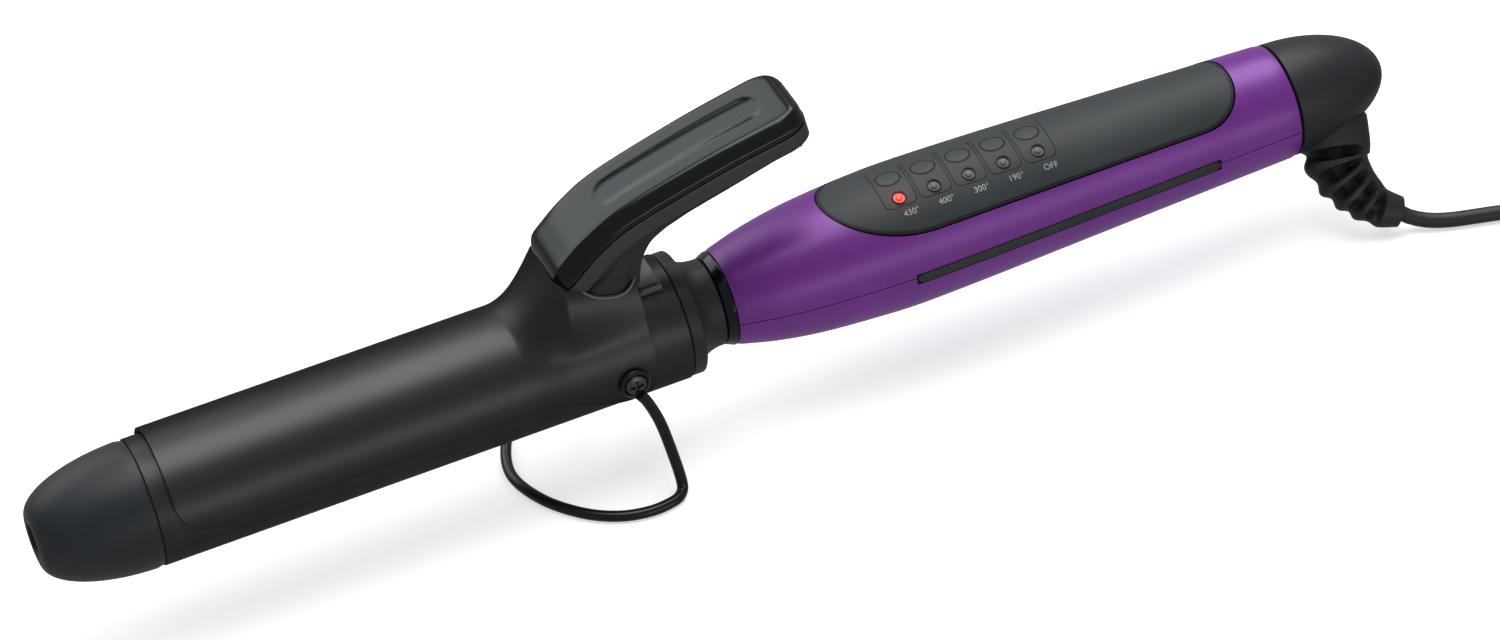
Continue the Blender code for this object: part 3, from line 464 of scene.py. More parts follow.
def coil_route(centre, inner, base, pitch):
    """Turns that lie beside and on each other: each layer spirals in or out, then climbs to the next."""
    points = []
    angle = COIL_IN
    total = TURNS_WIDE * LAYERS * math.tau + (COIL_OUT - COIL_IN)
    steps = int(total / math.radians(7.5))
    for n in range(steps + 1):
        turned = total * n / steps
        turn = turned / math.tau
        layer = min(int(turn / TURNS_WIDE), LAYERS - 1)
        into = turn - layer * TURNS_WIDE
        across = min(into, TURNS_WIDE - 1.0) if into > 0.0 else 0.0
        lane = TURNS_WIDE - 1 - across if layer % 2 == 0 else across
        climb = max(0.0, min(1.0, into - (TURNS_WIDE - 1.0))) if layer < LAYERS - 1 else 0.0
        radius = inner + pitch * (0.5 + lane)
        height = base + pitch * (0.5 + layer + ease(climb))
        points.append(Vector((centre.x + radius * math.cos(angle + turned),
                              centre.y + radius * math.sin(angle + turned), height)))
    return points


def build_cord():
    low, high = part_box("cord_coil")
    centre = (low + high) / 2
    outer = (high.x - low.x) / 2
    pitch = 2 * CORD_R
    inner = outer - TURNS_WIDE * pitch
    start = Vector((RELIEF_END[0], 0.0, AXIS_Z)) + RELIEF_DOWN * RELIEF_END[1]
    turns = coil_route(centre, inner, low.z, pitch)
    lead = smooth_route([start] + list(CORD_LEAD) + turns[:3], CORD_STEP)
    into_plug = [PLUG_FACE - Vector((0.0050, 0, 0)), PLUG_FACE]
    tail = smooth_route(turns[-3:] + list(CORD_TAIL) + into_plug, CORD_STEP)
    route = lead[:-1] + turns[3:-3] + tail
    cord = piece("mains_cord", tube(route, CORD_R - CORD_SHRINK, 14), "cord_black", None, "cord_black",
                 "cord_lead", "cord_coil", "cord_tail", sharp=60)
    length = sum((b - a).length for a, b in zip(route, route[1:]))
    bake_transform(cord)
    print("cord length", round(length, 3))
    return cord, start, length, route


# share of the length, of the full width and of the full thickness
PLUG_SHAPE = ((0.0, 0.30, 0.46), (0.04, 0.32, 0.49), (0.10, 0.34, 0.52), (0.22, 0.44, 0.64),
              (0.34, 0.62, 0.80), (0.46, 0.82, 0.93), (0.55, 0.92, 0.98), (0.62, 1.00, 1.00),
              (0.90, 1.00, 1.00), (0.97, 0.98, 0.97), (1.0, 0.92, 0.90))


def build_plug():
    low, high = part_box("plug_body")
    length, width, thick = high - low
    centre = (low + high) / 2
    rings = []
    for share, wide, tall in PLUG_SHAPE:
        ring = []
        for c, s in circle(48):
            bulge = (abs(c) ** 5 + abs(s) ** 5) ** (-1 / 5)
            ring.append((low.x + length * share, centre.y + 0.5 * width * wide * c * bulge,
                         centre.z + 0.5 * thick * tall * s * bulge))
        rings.append(ring)
    for name in ("plug_blade_near", "plug_blade_far"):
        bevel(NODES[name], 0.0003, 2)
    return piece("plug_shell", loft(rings), "cord_black", "root", "cord_black", "plug_body", sharp=50)


# ---- heated end ---------------------------------------------------------
TIP_FACE_R = 0.0060
TIP_HOLE_R = 0.0044
TIP_HOLE_DEPTH = 0.0110
SPIGOT_R = 0.0150           # of the tip's and neck's plugs inside the barrel
BARREL_WALL = 0.0006
THROAT_R = 0.0111
FLANGE_LONG = 0.0036
NECK_TUBE_R = (0.0080, 0.0095)      # bore and outside of its tube into the handle
RING_BORE_R = 0.0098


def build_cool_tip():
    low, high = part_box("cool_tip")
    radius = (high.y - low.y) / 2
    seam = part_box("barrel")[0].x - GAP
    nose = [(seam - (seam - low.x) * s, TIP_FACE_R + (radius - TIP_FACE_R) * c) for c, s in quarter(27)]
    floor = low.x + TIP_HOLE_DEPTH
    inside = soften([(low.x, TIP_FACE_R), (low.x, TIP_HOLE_R), (floor, TIP_HOLE_R), (floor, 0.0),
                     (high.x, 0.0)], 0.0006)[1:-1]
    outline = [(seam + 0.0001, radius - 0.0004)] + nose[1:] + inside
    outline += [(high.x, 0.0), (high.x, SPIGOT_R), (seam, SPIGOT_R)]
    piece("cool_tip_shell", lathe(outline, around_x), "cool_tip", "root", "matte_black", "cool_tip")


CROSS_REACH = 0.0018
CROSS_HALF = 0.00035
CROSS = [(CROSS_REACH * a + CROSS_HALF * b, CROSS_REACH * c + CROSS_HALF * d) for a, b, c, d in (
    (-1, 0, 0, -1), (0, -1, 0, -1), (0, -1, -1, 0), (0, 1, -1, 0), (0, 1, 0, -1), (1, 0, 0, -1), (1, 0, 0, 1),
    (0, 1, 0, 1), (0, 1, 1, 0), (0, -1, 1, 0), (0, -1, 0, 1), (-1, 0, 0, 1))]


def build_tip_screw():
    low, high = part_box("tip_screw")
    radius = (high.y - low.y) / 2
    dome = [(low.x + (high.x - low.x) * 0.6 * (1 - c), radius * s) for c, s in quarter(10)]
    outline = dome + [(high.x, radius), (high.x, 0.0)]
    screw = piece("tip_screw_head", lathe(outline, around_x, 40), "screw_steel", "root", "screw_steel",
                  "tip_screw")
    cut(screw, loft([[(x, y, AXIS_Z + z) for y, z in CROSS] for x in (low.x - 0.001, low.x + 0.0012)]))


def build_barrel():
    low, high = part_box("barrel")
    radius = (high.y - low.y) / 2
    outline = soften([(low.x, radius - BARREL_WALL), (low.x, radius), (high.x, radius),
                      (high.x, radius - BARREL_WALL)], 0.00025)
    rows = []
    for a, b in zip(outline, outline[1:] + outline[:1]):
        rows.append(a)
        if abs(a[0] - b[0]) > 0.05:
            rows += [(x, a[1]) for x in spread(a[0], b[0], 12)[1:-1]]
    piece("barrel_tube", lathe(rows, around_x, 128), "bronze_barrel", "root", "bronze_barrel", "barrel")


def build_neck():
    low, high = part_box("neck")
    flange = (high.y - low.y) / 2
    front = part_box("barrel")[1].x + GAP
    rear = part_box("accent_ring")[0].x - GAP
    start = (front + FLANGE_LONG, flange - 0.0012)
    outer = soften([(front, SPIGOT_R), (front, flange), (start[0] - 0.0002, flange), start], 0.0012)
    outer = [point for point in outer if point[0] < start[0] - 1e-5]
    waist = rear - 0.0006
    outer += [(start[0] + (waist - start[0]) * (1 - c), start[1] - (start[1] - THROAT_R) * s)
              for c, s in quarter(24)]
    bore, tube_r = NECK_TUBE_R
    outer += [(rear - 0.0002, THROAT_R), (rear, THROAT_R - 0.0002), (rear, tube_r), (high.x, tube_r),
              (high.x, bore), (low.x, bore), (low.x, SPIGOT_R)]
    piece("neck_moulding", lathe(outer, around_x), "matte_black", "root", "matte_black", "neck")


def build_accent_ring():
    low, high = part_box("accent_ring")
    radius = (high.y - low.y) / 2
    outline = soften([(low.x, RING_BORE_R), (low.x, radius - 0.0010), (high.x, radius),
                      (high.x, RING_BORE_R)], 0.0004)
    piece("accent_ring_gloss", lathe(outline, around_x), "gloss_black", "root", "gloss_black", "accent_ring")


# ---- clamp --------------------------------------------------------------
CLAMP_R = 0.0174
CLAMP_WIDE_R = 0.0183
CLAMP_SHEET = 0.0010
CLAMP_EDGE = 0.00022        # how much the sheet's edge is rounded on each face
PIVOT_HOLE_R = 0.0017
CLAMP_CORNER = 0.0090
RISE_X = (-0.0580, -0.0445)
RISE = 0.0118
RISE_FALL = 0.0048
EAR_R = 0.0070
EAR_REACH = 0.0210
FOOT_X = (-0.0432, -0.0243)
FOOT_HALF = 0.0111
FOOT_POWER = 0.72           # 1 for an oval, less for squarer corners
RIM_R = 0.00032
# height over the axis, front, rear and half width
FOOT_RINGS = ((0.0205, -0.0427, -0.0249, 0.0105), (0.0210, -0.0431, -0.0245, FOOT_HALF),
              (0.0228, -0.0431, -0.0244, FOOT_HALF), (0.0250, -0.0408, -0.0243, 0.0110),
              (0.0275, -0.0365, -0.0240, 0.0108), (0.0300, -0.0335, -0.0232, 0.0107),
              (0.0325, -0.0310, -0.0215, 0.0105))


def clamp_radius(x, angle):
    wide = CLAMP_R + (CLAMP_WIDE_R - CLAMP_R) * ease((x - RISE_X[0]) / (RISE_X[1] - RISE_X[0]))
    climb = RISE * min(1.0, max(0.0, (x - RISE_X[0]) / (RISE_X[1] - RISE_X[0]))) ** 1.5
    climb -= RISE_FALL * min(1.0, max(0.0, (x - RISE_X[1]) / (FOOT_X[1] - RISE_X[1])))
    bump = ease(1.0 - (abs(angle) - math.radians(14)) / math.radians(46))
    return wide + climb * bump ** 1.25


def clamp_half_angle(x, front):
    half = RIGHT_ANGLE
    into = x - front
    if into < CLAMP_CORNER:
        half -= (CLAMP_CORNER - math.sqrt(CLAMP_CORNER ** 2 - (CLAMP_CORNER - into) ** 2)) / CLAMP_R
    if x < PIVOT.x:
        half += EAR_R * ease(1 - (PIVOT.x - x) / EAR_REACH) / CLAMP_WIDE_R
    else:
        half += math.sqrt(max(0.0, EAR_R ** 2 - (x - PIVOT.x) ** 2)) / CLAMP_WIDE_R
    return half


def foot_ring(height, front, rear, half):
    """A ring of the oblong foot that the lever stands on."""
    ring = []
    for c, s in circle(FINE):
        ring.append(((front + rear) / 2 + (rear - front) / 2 * math.copysign(abs(c) ** FOOT_POWER, c),
                     half * math.copysign(abs(s) ** FOOT_POWER, s), AXIS_Z + height))
    return ring


def build_lever_foot():
    piece("lever_foot", loft([foot_ring(*row) for row in FOOT_RINGS]), "matte_black", "clamp", "matte_black",
          sharp=50)


def build_opening_rim():
    """The turned-up edge of the clamp's opening round the foot, in a lighter finish than the clamp sheet: a
    painted highlight along the rim.
    """
    route = []
    for x, y, _ in foot_ring(0.0, FOOT_X[0] - 0.0002, FOOT_X[1] + 0.0006, FOOT_HALF + 0.0006):
        angle = 0.45 * y / FOOT_HALF
        for _ in range(6):
            angle = math.asin(y / clamp_radius(x, angle))
        route.append(around_x(x, clamp_radius(x, angle) - 0.0001, angle))
    piece("opening_rim", tube(route + route[:1], RIM_R, 10), "steel_painted_highlight", "clamp", "clamp_satin",
          sharp=60)


def build_clamp():
    low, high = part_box("clamp_plate")
    front, rear = low.x, high.x
    stations = [front + CLAMP_CORNER * (1 - c) for c, _ in quarter(18)]
    stations += spread(front + CLAMP_CORNER, RISE_X[0], 24)[1:]
    stations += spread(RISE_X[0], PIVOT.x - EAR_R, 28)[1:]
    stations += [PIVOT.x - EAR_R * math.cos(math.radians(6 * k)) for k in range(1, 28)]
    stations = [x for x in stations if x < rear - 0.0002] + [rear - 0.0001, rear]
    count = 112
    rings = []
    for x in stations:
        half = clamp_half_angle(x, front)
        at_end = x in (stations[0], rear)
        outer = []
        inner = []
        for k, t in enumerate(spread(-half, half, count)):
            edge = CLAMP_EDGE if at_end or k in (0, count) else 0.0
            outer.append(around_x(x, clamp_radius(x, t) - edge, t))
            inner.append(around_x(x, clamp_radius(x, t) - CLAMP_SHEET + edge, t))
        rings.append(outer + inner[::-1])
    sheet = piece("clamp_sheet", loft(rings), "clamp_satin", "clamp", "clamp_satin", "clamp_plate", sharp=50)
    cut(sheet, loft([foot_ring(z, FOOT_X[0] - 0.0003, FOOT_X[1] + 0.0008, FOOT_HALF + 0.0003)
                     for z in (0.0100, 0.0400)]))
    cut(sheet, lathe([(-0.03, 0.0), (-0.03, PIVOT_HOLE_R), (0.03, PIVOT_HOLE_R), (0.03, 0.0)],
                     around_pivot(1), 32))


# ---- thumb lever --------------------------------------------------------
LEVER_TOP = ((-0.0478, 0.0290), (-0.0425, 0.0342), (-0.0360, 0.0395), (-0.0263, 0.0446),
             (-0.0040, 0.0510), (0.0130, 0.0547), (0.0220, 0.0563))
LEVER_WIDTH = (0.0220, 0.0235)
COVER_THICK = 0.0046
SKIRT_LOW = 0.0093
ARM_THICK = 0.0010
ARM_END = 0.955             # share of the lever's length
STEM_HALF = 0.0092
SHOULDER = ((0.0, 0.0033), (0.00005, 0.0030), (0.0002, 0.0027), (0.0005, 0.00225), (0.0009, 0.00175),
            (0.0014, 0.00122), (0.0019, 0.00076), (0.0024, 0.00038), (0.0028, 0.00015), (0.0031, 0.00004),
            (0.0034, 0.0))
GROOVE_X = (-0.0300, 0.0135)
GROOVE_HALF = 0.0033
GROOVE_DEPTH = 0.00022
GROOVE_EDGE = 0.0007
FRONT_FALL = (0.0044, 1.6)  # depth and roundness of the cover's edge at its ends
REAR_FALL = (0.0032, 2.0)


def lever_frames(count):
    """Steps along the lever's top line, closer at its ends: share of the way, place and upward normal."""
    route = smooth_route([(x, 0.0, z + AXIS_Z) for x, z in LEVER_TOP], 0.0005)
    total = len(route) - 1
    frames = []
    for k in range(count + 1):
        share = 0.5 - 0.5 * math.cos(math.pi * k / count)
        share = 0.35 * share + 0.65 * k / count if 0 < k < count else share
        at = total * share
        i = min(int(at), total - 1)
        place = route[i].lerp(route[i + 1], at - i)
        ahead = (route[min(i + 9, total)] - route[max(i - 8, 0)]).normalized()
        frames.append((share, place, Vector((-ahead.z, 0.0, ahead.x))))
    return frames, sum((b - a).length for a, b in zip(route, route[1:]))


def lever_half(share, edge):
    """Half the lever's width, with rounded corners at both ends."""
    half = 0.5 * (LEVER_WIDTH[0] + (LEVER_WIDTH[1] - LEVER_WIDTH[0]) * share)
    return half * (0.53 + 0.47 * round_end(edge, 0.0050 + 0.0032 * share, 2.1))


def mirrored_ring(outline, place, up):
    outline = outline + [(-y, z) for y, z in reversed(outline)]
    return [place + Vector((0.0, y, 0.0)) + up * z for y, z in outline]


def build_lever_skirt():
    """The satin side wall under the glossy cover."""
    frames, length = lever_frames(120)
    rings = []
    for share, place, up in frames:
        half = lever_half(share, min(share, 1 - share) * length) - 0.0001
        outline = [(-half + 0.0008, -SKIRT_LOW), (-half + 0.0002, -SKIRT_LOW + 0.0002),
                   (-half, -SKIRT_LOW + 0.0008), (-half, -COVER_THICK - 0.0003),
                   (-half + 0.0001, -COVER_THICK - 0.0001)]
        rings.append(mirrored_ring(outline, place, up))
    piece("lever_skirt", loft(rings), "satin_black", "clamp", "matte_black", sharp=50)


def build_thumb_lever():
    """The glossy cover, with a shallow oblong recess on top."""
    frames, length = lever_frames(120)
    rings = []
    for share, place, up in frames:
        edge = max(min(share, 1 - share) * length, 0.0)
        half = lever_half(share, edge)
        fall, roundness = FRONT_FALL if share < 0.5 else REAR_FALL
        drop = fall * (1 - round_end(edge, fall * 1.15, roundness))
        inside = min(place.x - GROOVE_X[0], GROOVE_X[1] - place.x)
        groove = GROOVE_DEPTH * ease(inside / GROOVE_EDGE)
        groove_half = GROOVE_HALF * round_end(max(inside, 0.0), GROOVE_HALF, 2.0) + 0.0004
        outline = [(-half + 0.0012, -COVER_THICK), (-half + 0.0004, -COVER_THICK + 0.0001),
                   (-half, -COVER_THICK + 0.0006)]
        outline += [(-half + inward, -drop - below) for inward, below in SHOULDER]
        shoulder = -half + SHOULDER[-1][0]
        reach = -groove_half - 0.0003
        outline += [(y, -drop) for y in spread(shoulder, reach, 4)[1:]]
        outline += [(reach + 0.0003 * step / 4, -drop - groove * ease(step / 4)) for step in range(1, 5)]
        outline.append((-groove_half * 0.5, -drop - groove))
        rings.append(mirrored_ring(outline, place, up))
    lever = piece("thumb_lever_cover", loft(rings), "gloss_black", "clamp", "gloss_black", "thumb_lever",
                  sharp=60)
    bevel(lever, 0.0005, 3, 50)


# points of the stem's outline: X, and height over the axis
ARM_FOOT = ((-0.0424, 0.0240), (-0.0419, 0.0228), (-0.0414, 0.0213), (-0.0246, 0.0213), (-0.0243, 0.0240))
ARM_REAR = ((-0.0243, 0.0240), (-0.0238, 0.0276), (-0.0228, 0.0306), (-0.0206, 0.0337), (-0.0165, 0.0361))


def build_lever_arm():
    """The matte body under the cover: an arm along the lever, and the stem that stands in the clamp."""
    frames = [f for f in lever_frames(90)[0] if 0.10 < f[0] < ARM_END]
    top_line = [place - up * (SKIRT_LOW + 0.0003) for _, place, up in frames]
    low_line = [place - up * (SKIRT_LOW + 0.0004 + ARM_THICK * ease((ARM_END - share) / 0.3))
                for share, place, up in frames]
    rear = smooth_route([(x, 0.0, z) for x, z in ARM_REAR], 0.0010)[1:]
    stem = [Vector((x, 0.0, AXIS_Z + z)) for x, z in ARM_FOOT]
    stem += [Vector((p.x, 0.0, AXIS_Z + p.z)) for p in rear]
    join = [p for p in low_line if p.x > -0.0110]
    outline = stem + join + top_line[::-1]
    half_top = 0.5 * LEVER_WIDTH[0] - 0.0006
    sides = [0.0, 0.30, 0.60, 0.82, 0.95, 1.0]
    rings = []
    for side in [-s for s in reversed(sides[1:])] + sides:
        ring = []
        for point in outline:
            height = point.z - AXIS_Z
            half = STEM_HALF + (half_top - STEM_HALF) * ease((height - 0.0215) / 0.0110)
            ring.append(point + Vector((0.0, side * half, 0.0)))
        rings.append(ring)
    arm = piece("lever_arm_moulding", loft(rings), "matte_black", "clamp", "matte_black", "lever_arm",
                sharp=40)
    bevel(arm, 0.0005, 3, 45)


BRACKET_R = (0.0163, 0.0172)
BRACKET_ANGLE = math.radians(25)
BRACKET_RIB = 0.0007
BRACKET_PLAIN = 0.62        # share of each half of its arc that has no ribs


def build_spring_bracket():
    """The strap that holds the spring's end to the barrel, with two raised ribs at each side; its lighter
    steel colour is a painted highlight on the ribs.
    """
    low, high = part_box("spring_bracket")
    rings = []
    first = low.x + 0.0009
    for x in (first, first + 0.0003, high.x - 0.0003, high.x):
        edge = 0.0003 if x in (first, high.x) else 0.0
        outer = []
        inner = []
        for t in spread(-BRACKET_ANGLE, BRACKET_ANGLE, 160):
            band = (abs(t) / BRACKET_ANGLE - BRACKET_PLAIN) / (1 - BRACKET_PLAIN)
            wave = 0.5 + 1.6 * math.cos(math.tau * 2 * (band - 0.25))
            rib = BRACKET_RIB * ease(wave) if 0 < band < 1 else 0.0
            outer.append(around_x(x, BRACKET_R[1] + rib - edge, t))
            inner.append(around_x(x, BRACKET_R[0], t))
        rings.append(outer + inner[::-1])
    piece("spring_bracket_ribs", loft(rings), "steel_painted_highlight", "root", "matte_black", "spring_bracket",
          sharp=30)


# ---- pivot and stand ----------------------------------------------------
SCREW_HEAD_Y = 0.0193
SCREW_HEAD_R = 0.0027
SCREW_SHANK_R = 0.0014
SCREW_SHANK_Y = 0.0105
# distance out from the iron's middle, and radius
EYE_PROFILE = ((0.0184, PIVOT_HOLE_R), (0.0184, 0.0040), (0.0194, 0.0040), (0.0199, 0.0034), (0.0198, 0.0030),
               (0.0191, 0.0029), (0.0191, PIVOT_HOLE_R))


def build_pivot_screws():
    for name, side in SIDES:
        outline = [(SCREW_SHANK_Y, 0.0), (SCREW_SHANK_Y, SCREW_SHANK_R), (SCREW_HEAD_Y, SCREW_SHANK_R),
                   (SCREW_HEAD_Y, SCREW_HEAD_R)]
        outline += [(SCREW_HEAD_Y + 0.0005 + 0.0008 * s, SCREW_HEAD_R * c) for c, s in quarter(9)]
        screw = piece(f"pivot_screw_head_{name}", lathe(outline, around_pivot(side), 48), "screw_dark",
                      "root", "screw_steel", f"pivot_screw_{name}")
        cut(screw, loft([[(PIVOT.x + x, side * y, PIVOT.z + z) for x, z in CROSS]
                         for y in (SCREW_HEAD_Y + 0.0006, 0.0230)]))


def build_stand_bosses():
    """Each end of the wire has an eye round the pivot, a dished ring with the screw head in it."""
    for name, side in SIDES:
        outline = soften(EYE_PROFILE, 0.00025)
        piece(f"stand_eye_{name}", lathe(outline, around_pivot(side), 56), "wire_black", "stand",
              "clamp_satin", f"stand_boss_{name}", sharp=50)


# from the pivot: along the iron, outwards and up
STAND_LEG = ((0.0005, 0.0201, -0.0030), (0.0021, 0.0204, -0.0060), (0.0041, 0.0218, -0.0125),
             (0.0056, 0.0237, -0.0225), (0.0063, 0.0251, -0.0298), (0.0056, 0.0264, -0.0320),
             (0.0030, 0.0284, -0.0320), (-0.0035, 0.0291, -0.0320), (-0.0112, 0.0270, -0.0320),
             (-0.0188, 0.0214, -0.0320), (-0.0257, 0.0118, -0.0320))
STAND_NOSE = (-0.0290, 0.0, -0.0320)
WIRE_R = 0.0014


def build_wire_stand():
    near = [(PIVOT.x + x, -y, AXIS_Z + z) for x, y, z in STAND_LEG]
    nose = [(PIVOT.x + STAND_NOSE[0], 0.0, AXIS_Z + STAND_NOSE[2])]
    far = [(x, -y, z) for x, y, z in reversed(near)]
    route = smooth_route(near + nose + far, 0.0011)
    for point in route:
        point.z = max(point.z, WIRE_R)
    piece("stand_wire", tube(route, WIRE_R, 24), "wire_black", "stand", "wire_black", "wire_stand", sharp=60)


# ---- handle -------------------------------------------------------------
HANDLE_LINE = ((-0.0018, 0.0122), (0.0087, 0.0148), (0.0202, 0.0166), (0.0372, 0.0179),
               (0.0462, 0.0182), (0.0662, 0.0178), (0.1012, 0.0166), (0.1505, 0.0148))
HANDLE_WALL = 0.0020
HANDLE_LIFT = 0.0004
STRIP_HALF = 0.0013
STRIP_DEPTH = 0.0012
PANEL_ANGLE = math.radians(56)
PANEL_NOSE = 0.0260
PANEL_TAIL = 0.0130
PANEL_THICK = 0.0016
PANEL_TOP = -0.0001         # its surface under the handle's
BUTTON_HOLE = (0.0033, 0.0027)
LED_ANGLE = math.radians(-21.5)
LED_R = 0.0014
DOME_R = 0.0009


def handle_radius(x):
    line = HANDLE_LINE
    x = min(max(x, line[0][0]), line[-1][0])
    k = max(i for i in range(len(line) - 1) if line[i][0] <= x)
    slopes = []
    for i in (k, k + 1):
        low = line[max(i - 1, 0)]
        high = line[min(i + 1, len(line) - 1)]
        slopes.append((high[1] - low[1]) / (high[0] - low[0]))
    span = line[k + 1][0] - line[k][0]
    t = (x - line[k][0]) / span
    return ((2 * t ** 3 - 3 * t ** 2 + 1) * line[k][1] + (t ** 3 - 2 * t ** 2 + t) * span * slopes[0]
            + (3 * t ** 2 - 2 * t ** 3) * line[k + 1][1] + (t ** 3 - t ** 2) * span * slopes[1])


def handle_point(x, angle, offset=0.0):
    share = (x - HANDLE_LINE[0][0]) / (HANDLE_LINE[-1][0] - HANDLE_LINE[0][0])
    lift = HANDLE_LIFT * math.sin(math.pi * min(max(share, 0.0), 1.0))
    r = handle_radius(x) + offset
    return Vector((x, r * math.sin(angle), AXIS_Z + lift + r * math.cos(angle)))


def strip_tool():
    """Both channels that the grip strips lie in, as one cutter."""
    low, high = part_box("grip_strip_near")
    half = STRIP_HALF + GAP
    bm = bmesh.new()
    for _, side in SIDES:
        rings = []
        for x in spread(low.x - GAP, high.x + GAP, 40):
            inside = handle_point(x, side * RIGHT_ANGLE, -STRIP_DEPTH).y
            outside = handle_point(x, side * RIGHT_ANGLE, 0.0020).y
            rings.append([(x, inside, AXIS_Z - half), (x, outside, AXIS_Z - half),
                          (x, outside, AXIS_Z + half), (x, inside, AXIS_Z + half)])
        add_loft(bm, rings)
    return bm


def panel_span():
    low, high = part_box("control_panel")
    return low.x - 0.0002, high.x + 0.0002


def panel_half_angle(x, grow):
    low, high = panel_span()
    low, high = low - grow, high + grow
    half = PANEL_ANGLE + grow / handle_radius(x)
    return half * min(round_end(x - low, PANEL_NOSE, 2.0), round_end(high - x, PANEL_TAIL, 2.4))


def panel_stations(grow):
    low, high = panel_span()
    low, high = low - grow, high + grow
    nose = [low + PANEL_NOSE * (1 - math.cos(math.radians(3 + 87 * k / 34))) for k in range(35)]
    middle = [low + PANEL_NOSE + (high - PANEL_TAIL - low - PANEL_NOSE) * k / 50 for k in range(1, 50)]
    tail = [high - PANEL_TAIL * (1 - math.cos(math.radians(5 + 85 * k / 24))) for k in range(24, -1, -1)]
    return nose + middle + tail


# where the panel's rounded edge has points, going inwards
EDGE_STEPS = (0.0, 0.00015, 0.0004, 0.0008)


def panel_slab(grow, top, bottom, soft=0.0, count=48):
    """The panel's outline between two offsets from the handle's surface, with its upper edge softened."""
    rings = []
    stations = panel_stations(grow)
    low, high = stations[0], stations[-1]
    for x in stations:
        half = panel_half_angle(x, grow)
        r = handle_radius(x)
        marks = [d / r for d in EDGE_STEPS] if soft else [0.0]
        marks = [m for m in marks if m < half * 0.5]
        inner_half = half - marks[-1]
        angles = [-half + m for m in marks[:-1]]
        angles += [inner_half * (2 * k / count - 1) for k in range(count + 1)]
        angles += [half - m for m in reversed(marks[:-1])]
        while soft and len(angles) < count + 1 + 2 * (len(EDGE_STEPS) - 1):
            angles = [angles[0]] + angles + [angles[-1]]
            angles[0] = angles[1] - 1e-5
            angles[-1] = angles[-2] + 1e-5
        outer = []
        inner = []
        for t in angles:
            edge = min((half - abs(t)) * r, (x - low) * 0.6 + 0.0002, (high - x) * 0.6 + 0.0002)
            drop = soft * (1 - round_end(edge, EDGE_STEPS[-1], 2.0))
            outer.append(handle_point(x, t, top - drop))
            inner.append(handle_point(x, t, bottom))
        rings.append(outer + inner[::-1])
    return loft(rings)


HANDLE_STEPS = 110
LIP = 0.00025               # rounding of the shells' ends and parting lines
SCREW_SINK = [(-0.0030, 0.0), (-0.0030, 0.0023), (0.0019, 0.0023), (0.0019, 0.0013), (0.0070, 0.0013),
              (0.0070, 0.0)]


def handle_shell(centre, count=72):
    low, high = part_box("handle_upper")
    rings = []
    for x in spread(low.x, high.x, HANDLE_STEPS):
        end_lip = LIP * (1 - round_end(min(x - low.x, high.x - x), 0.0014, 2.0))
        reach = RIGHT_ANGLE - 0.00012 / handle_radius(x)
        angles = spread(centre - reach, centre + reach, count)
        outer = [handle_point(x, t, -(LIP if n in (0, count) else end_lip)) for n, t in enumerate(angles)]
        inner = [handle_point(x, t, -HANDLE_WALL) for t in angles]
        rings.append(outer + inner[::-1])
    return loft(rings)


def build_handle():
    upper, lower = (piece(f"handle_shell_{name}", handle_shell(centre), "purple_metallic", "root",
                          "purple_metallic", f"handle_{name}")
                    for name, centre in (("upper", 0.0), ("lower", math.pi)))
    cut(upper, strip_tool())
    cut(upper, panel_slab(0.0, 0.0030, -0.0040))
    cut(lower, strip_tool())
    sinks = bmesh.new()
    for screw in ("handle_screw_1", "handle_screw_2"):
        low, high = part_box(screw)
        top = handle_point((low.x + high.x) / 2, math.pi)
        add_lathe(sinks, SCREW_SINK, lambda a, r, t, top=top: Vector((
            top.x + r * math.cos(t), r * math.sin(t), top.z + a)), 32)
    cut(lower, sinks)


def build_grip_strips():
    for name, side in SIDES:
        low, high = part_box(f"grip_strip_{name}")
        rings = []
        for x in spread(low.x, high.x, 60):
            shrink = round_end(min(x - low.x, high.x - x), 0.0011, 2.0) * 0.5 + 0.5
            back = handle_point(x, side * RIGHT_ANGLE, -STRIP_DEPTH + GAP).y
            face = handle_point(x, side * RIGHT_ANGLE, 0.0004 * shrink).y
            half = STRIP_HALF * shrink
            front = [(x, face - side * 0.0006 * (1 - math.cos(angle)), AXIS_Z + half * math.sin(angle))
                     for angle in spread(-RIGHT_ANGLE, RIGHT_ANGLE, 8)]
            rings.append([(x, back, AXIS_Z - half)] + front + [(x, back, AXIS_Z + half)])
        piece(f"grip_insert_{name}", loft(rings), "strip_rubber", "root", "strip_rubber",
              f"grip_strip_{name}", sharp=50)


# ---- control panel ------------------------------------------------------
def led_place(x):
    centre = handle_point(x, LED_ANGLE)
    out = Vector((0.0, math.sin(LED_ANGLE), math.cos(LED_ANGLE)))
    across = Vector((0.0, math.cos(LED_ANGLE), -math.sin(LED_ANGLE)))
    return lambda a, r, t: (centre + out * a + Vector((r * math.cos(t), 0.0, 0.0))
                            + across * r * math.sin(t))


def button_middles():
    return [(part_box(f"button_{k}")[0].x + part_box(f"button_{k}")[1].x) / 2 for k in range(1, 6)]


def oval(x, half, z):
    return [(x + half[0] * c, half[1] * s, z) for c, s in circle(56)]


def build_panel():
    slab = panel_slab(-GAP, PANEL_TOP, -PANEL_THICK, soft=0.00045)
    panel = piece("control_overlay", slab, "panel_grey", "root", "panel_grey", "control_panel", sharp=40)
    drills = bmesh.new()
    hole = LED_R + GAP
    for x in button_middles():
        top = handle_point(x, 0.0).z
        add_loft(drills, [oval(x, BUTTON_HOLE, z) for z in (top - 0.0060, top + 0.0030)])
        add_lathe(drills, [(-0.006, 0.0), (-0.006, hole), (0.003, hole), (0.003, 0.0)], led_place(x), 40)
    cut(panel, drills)


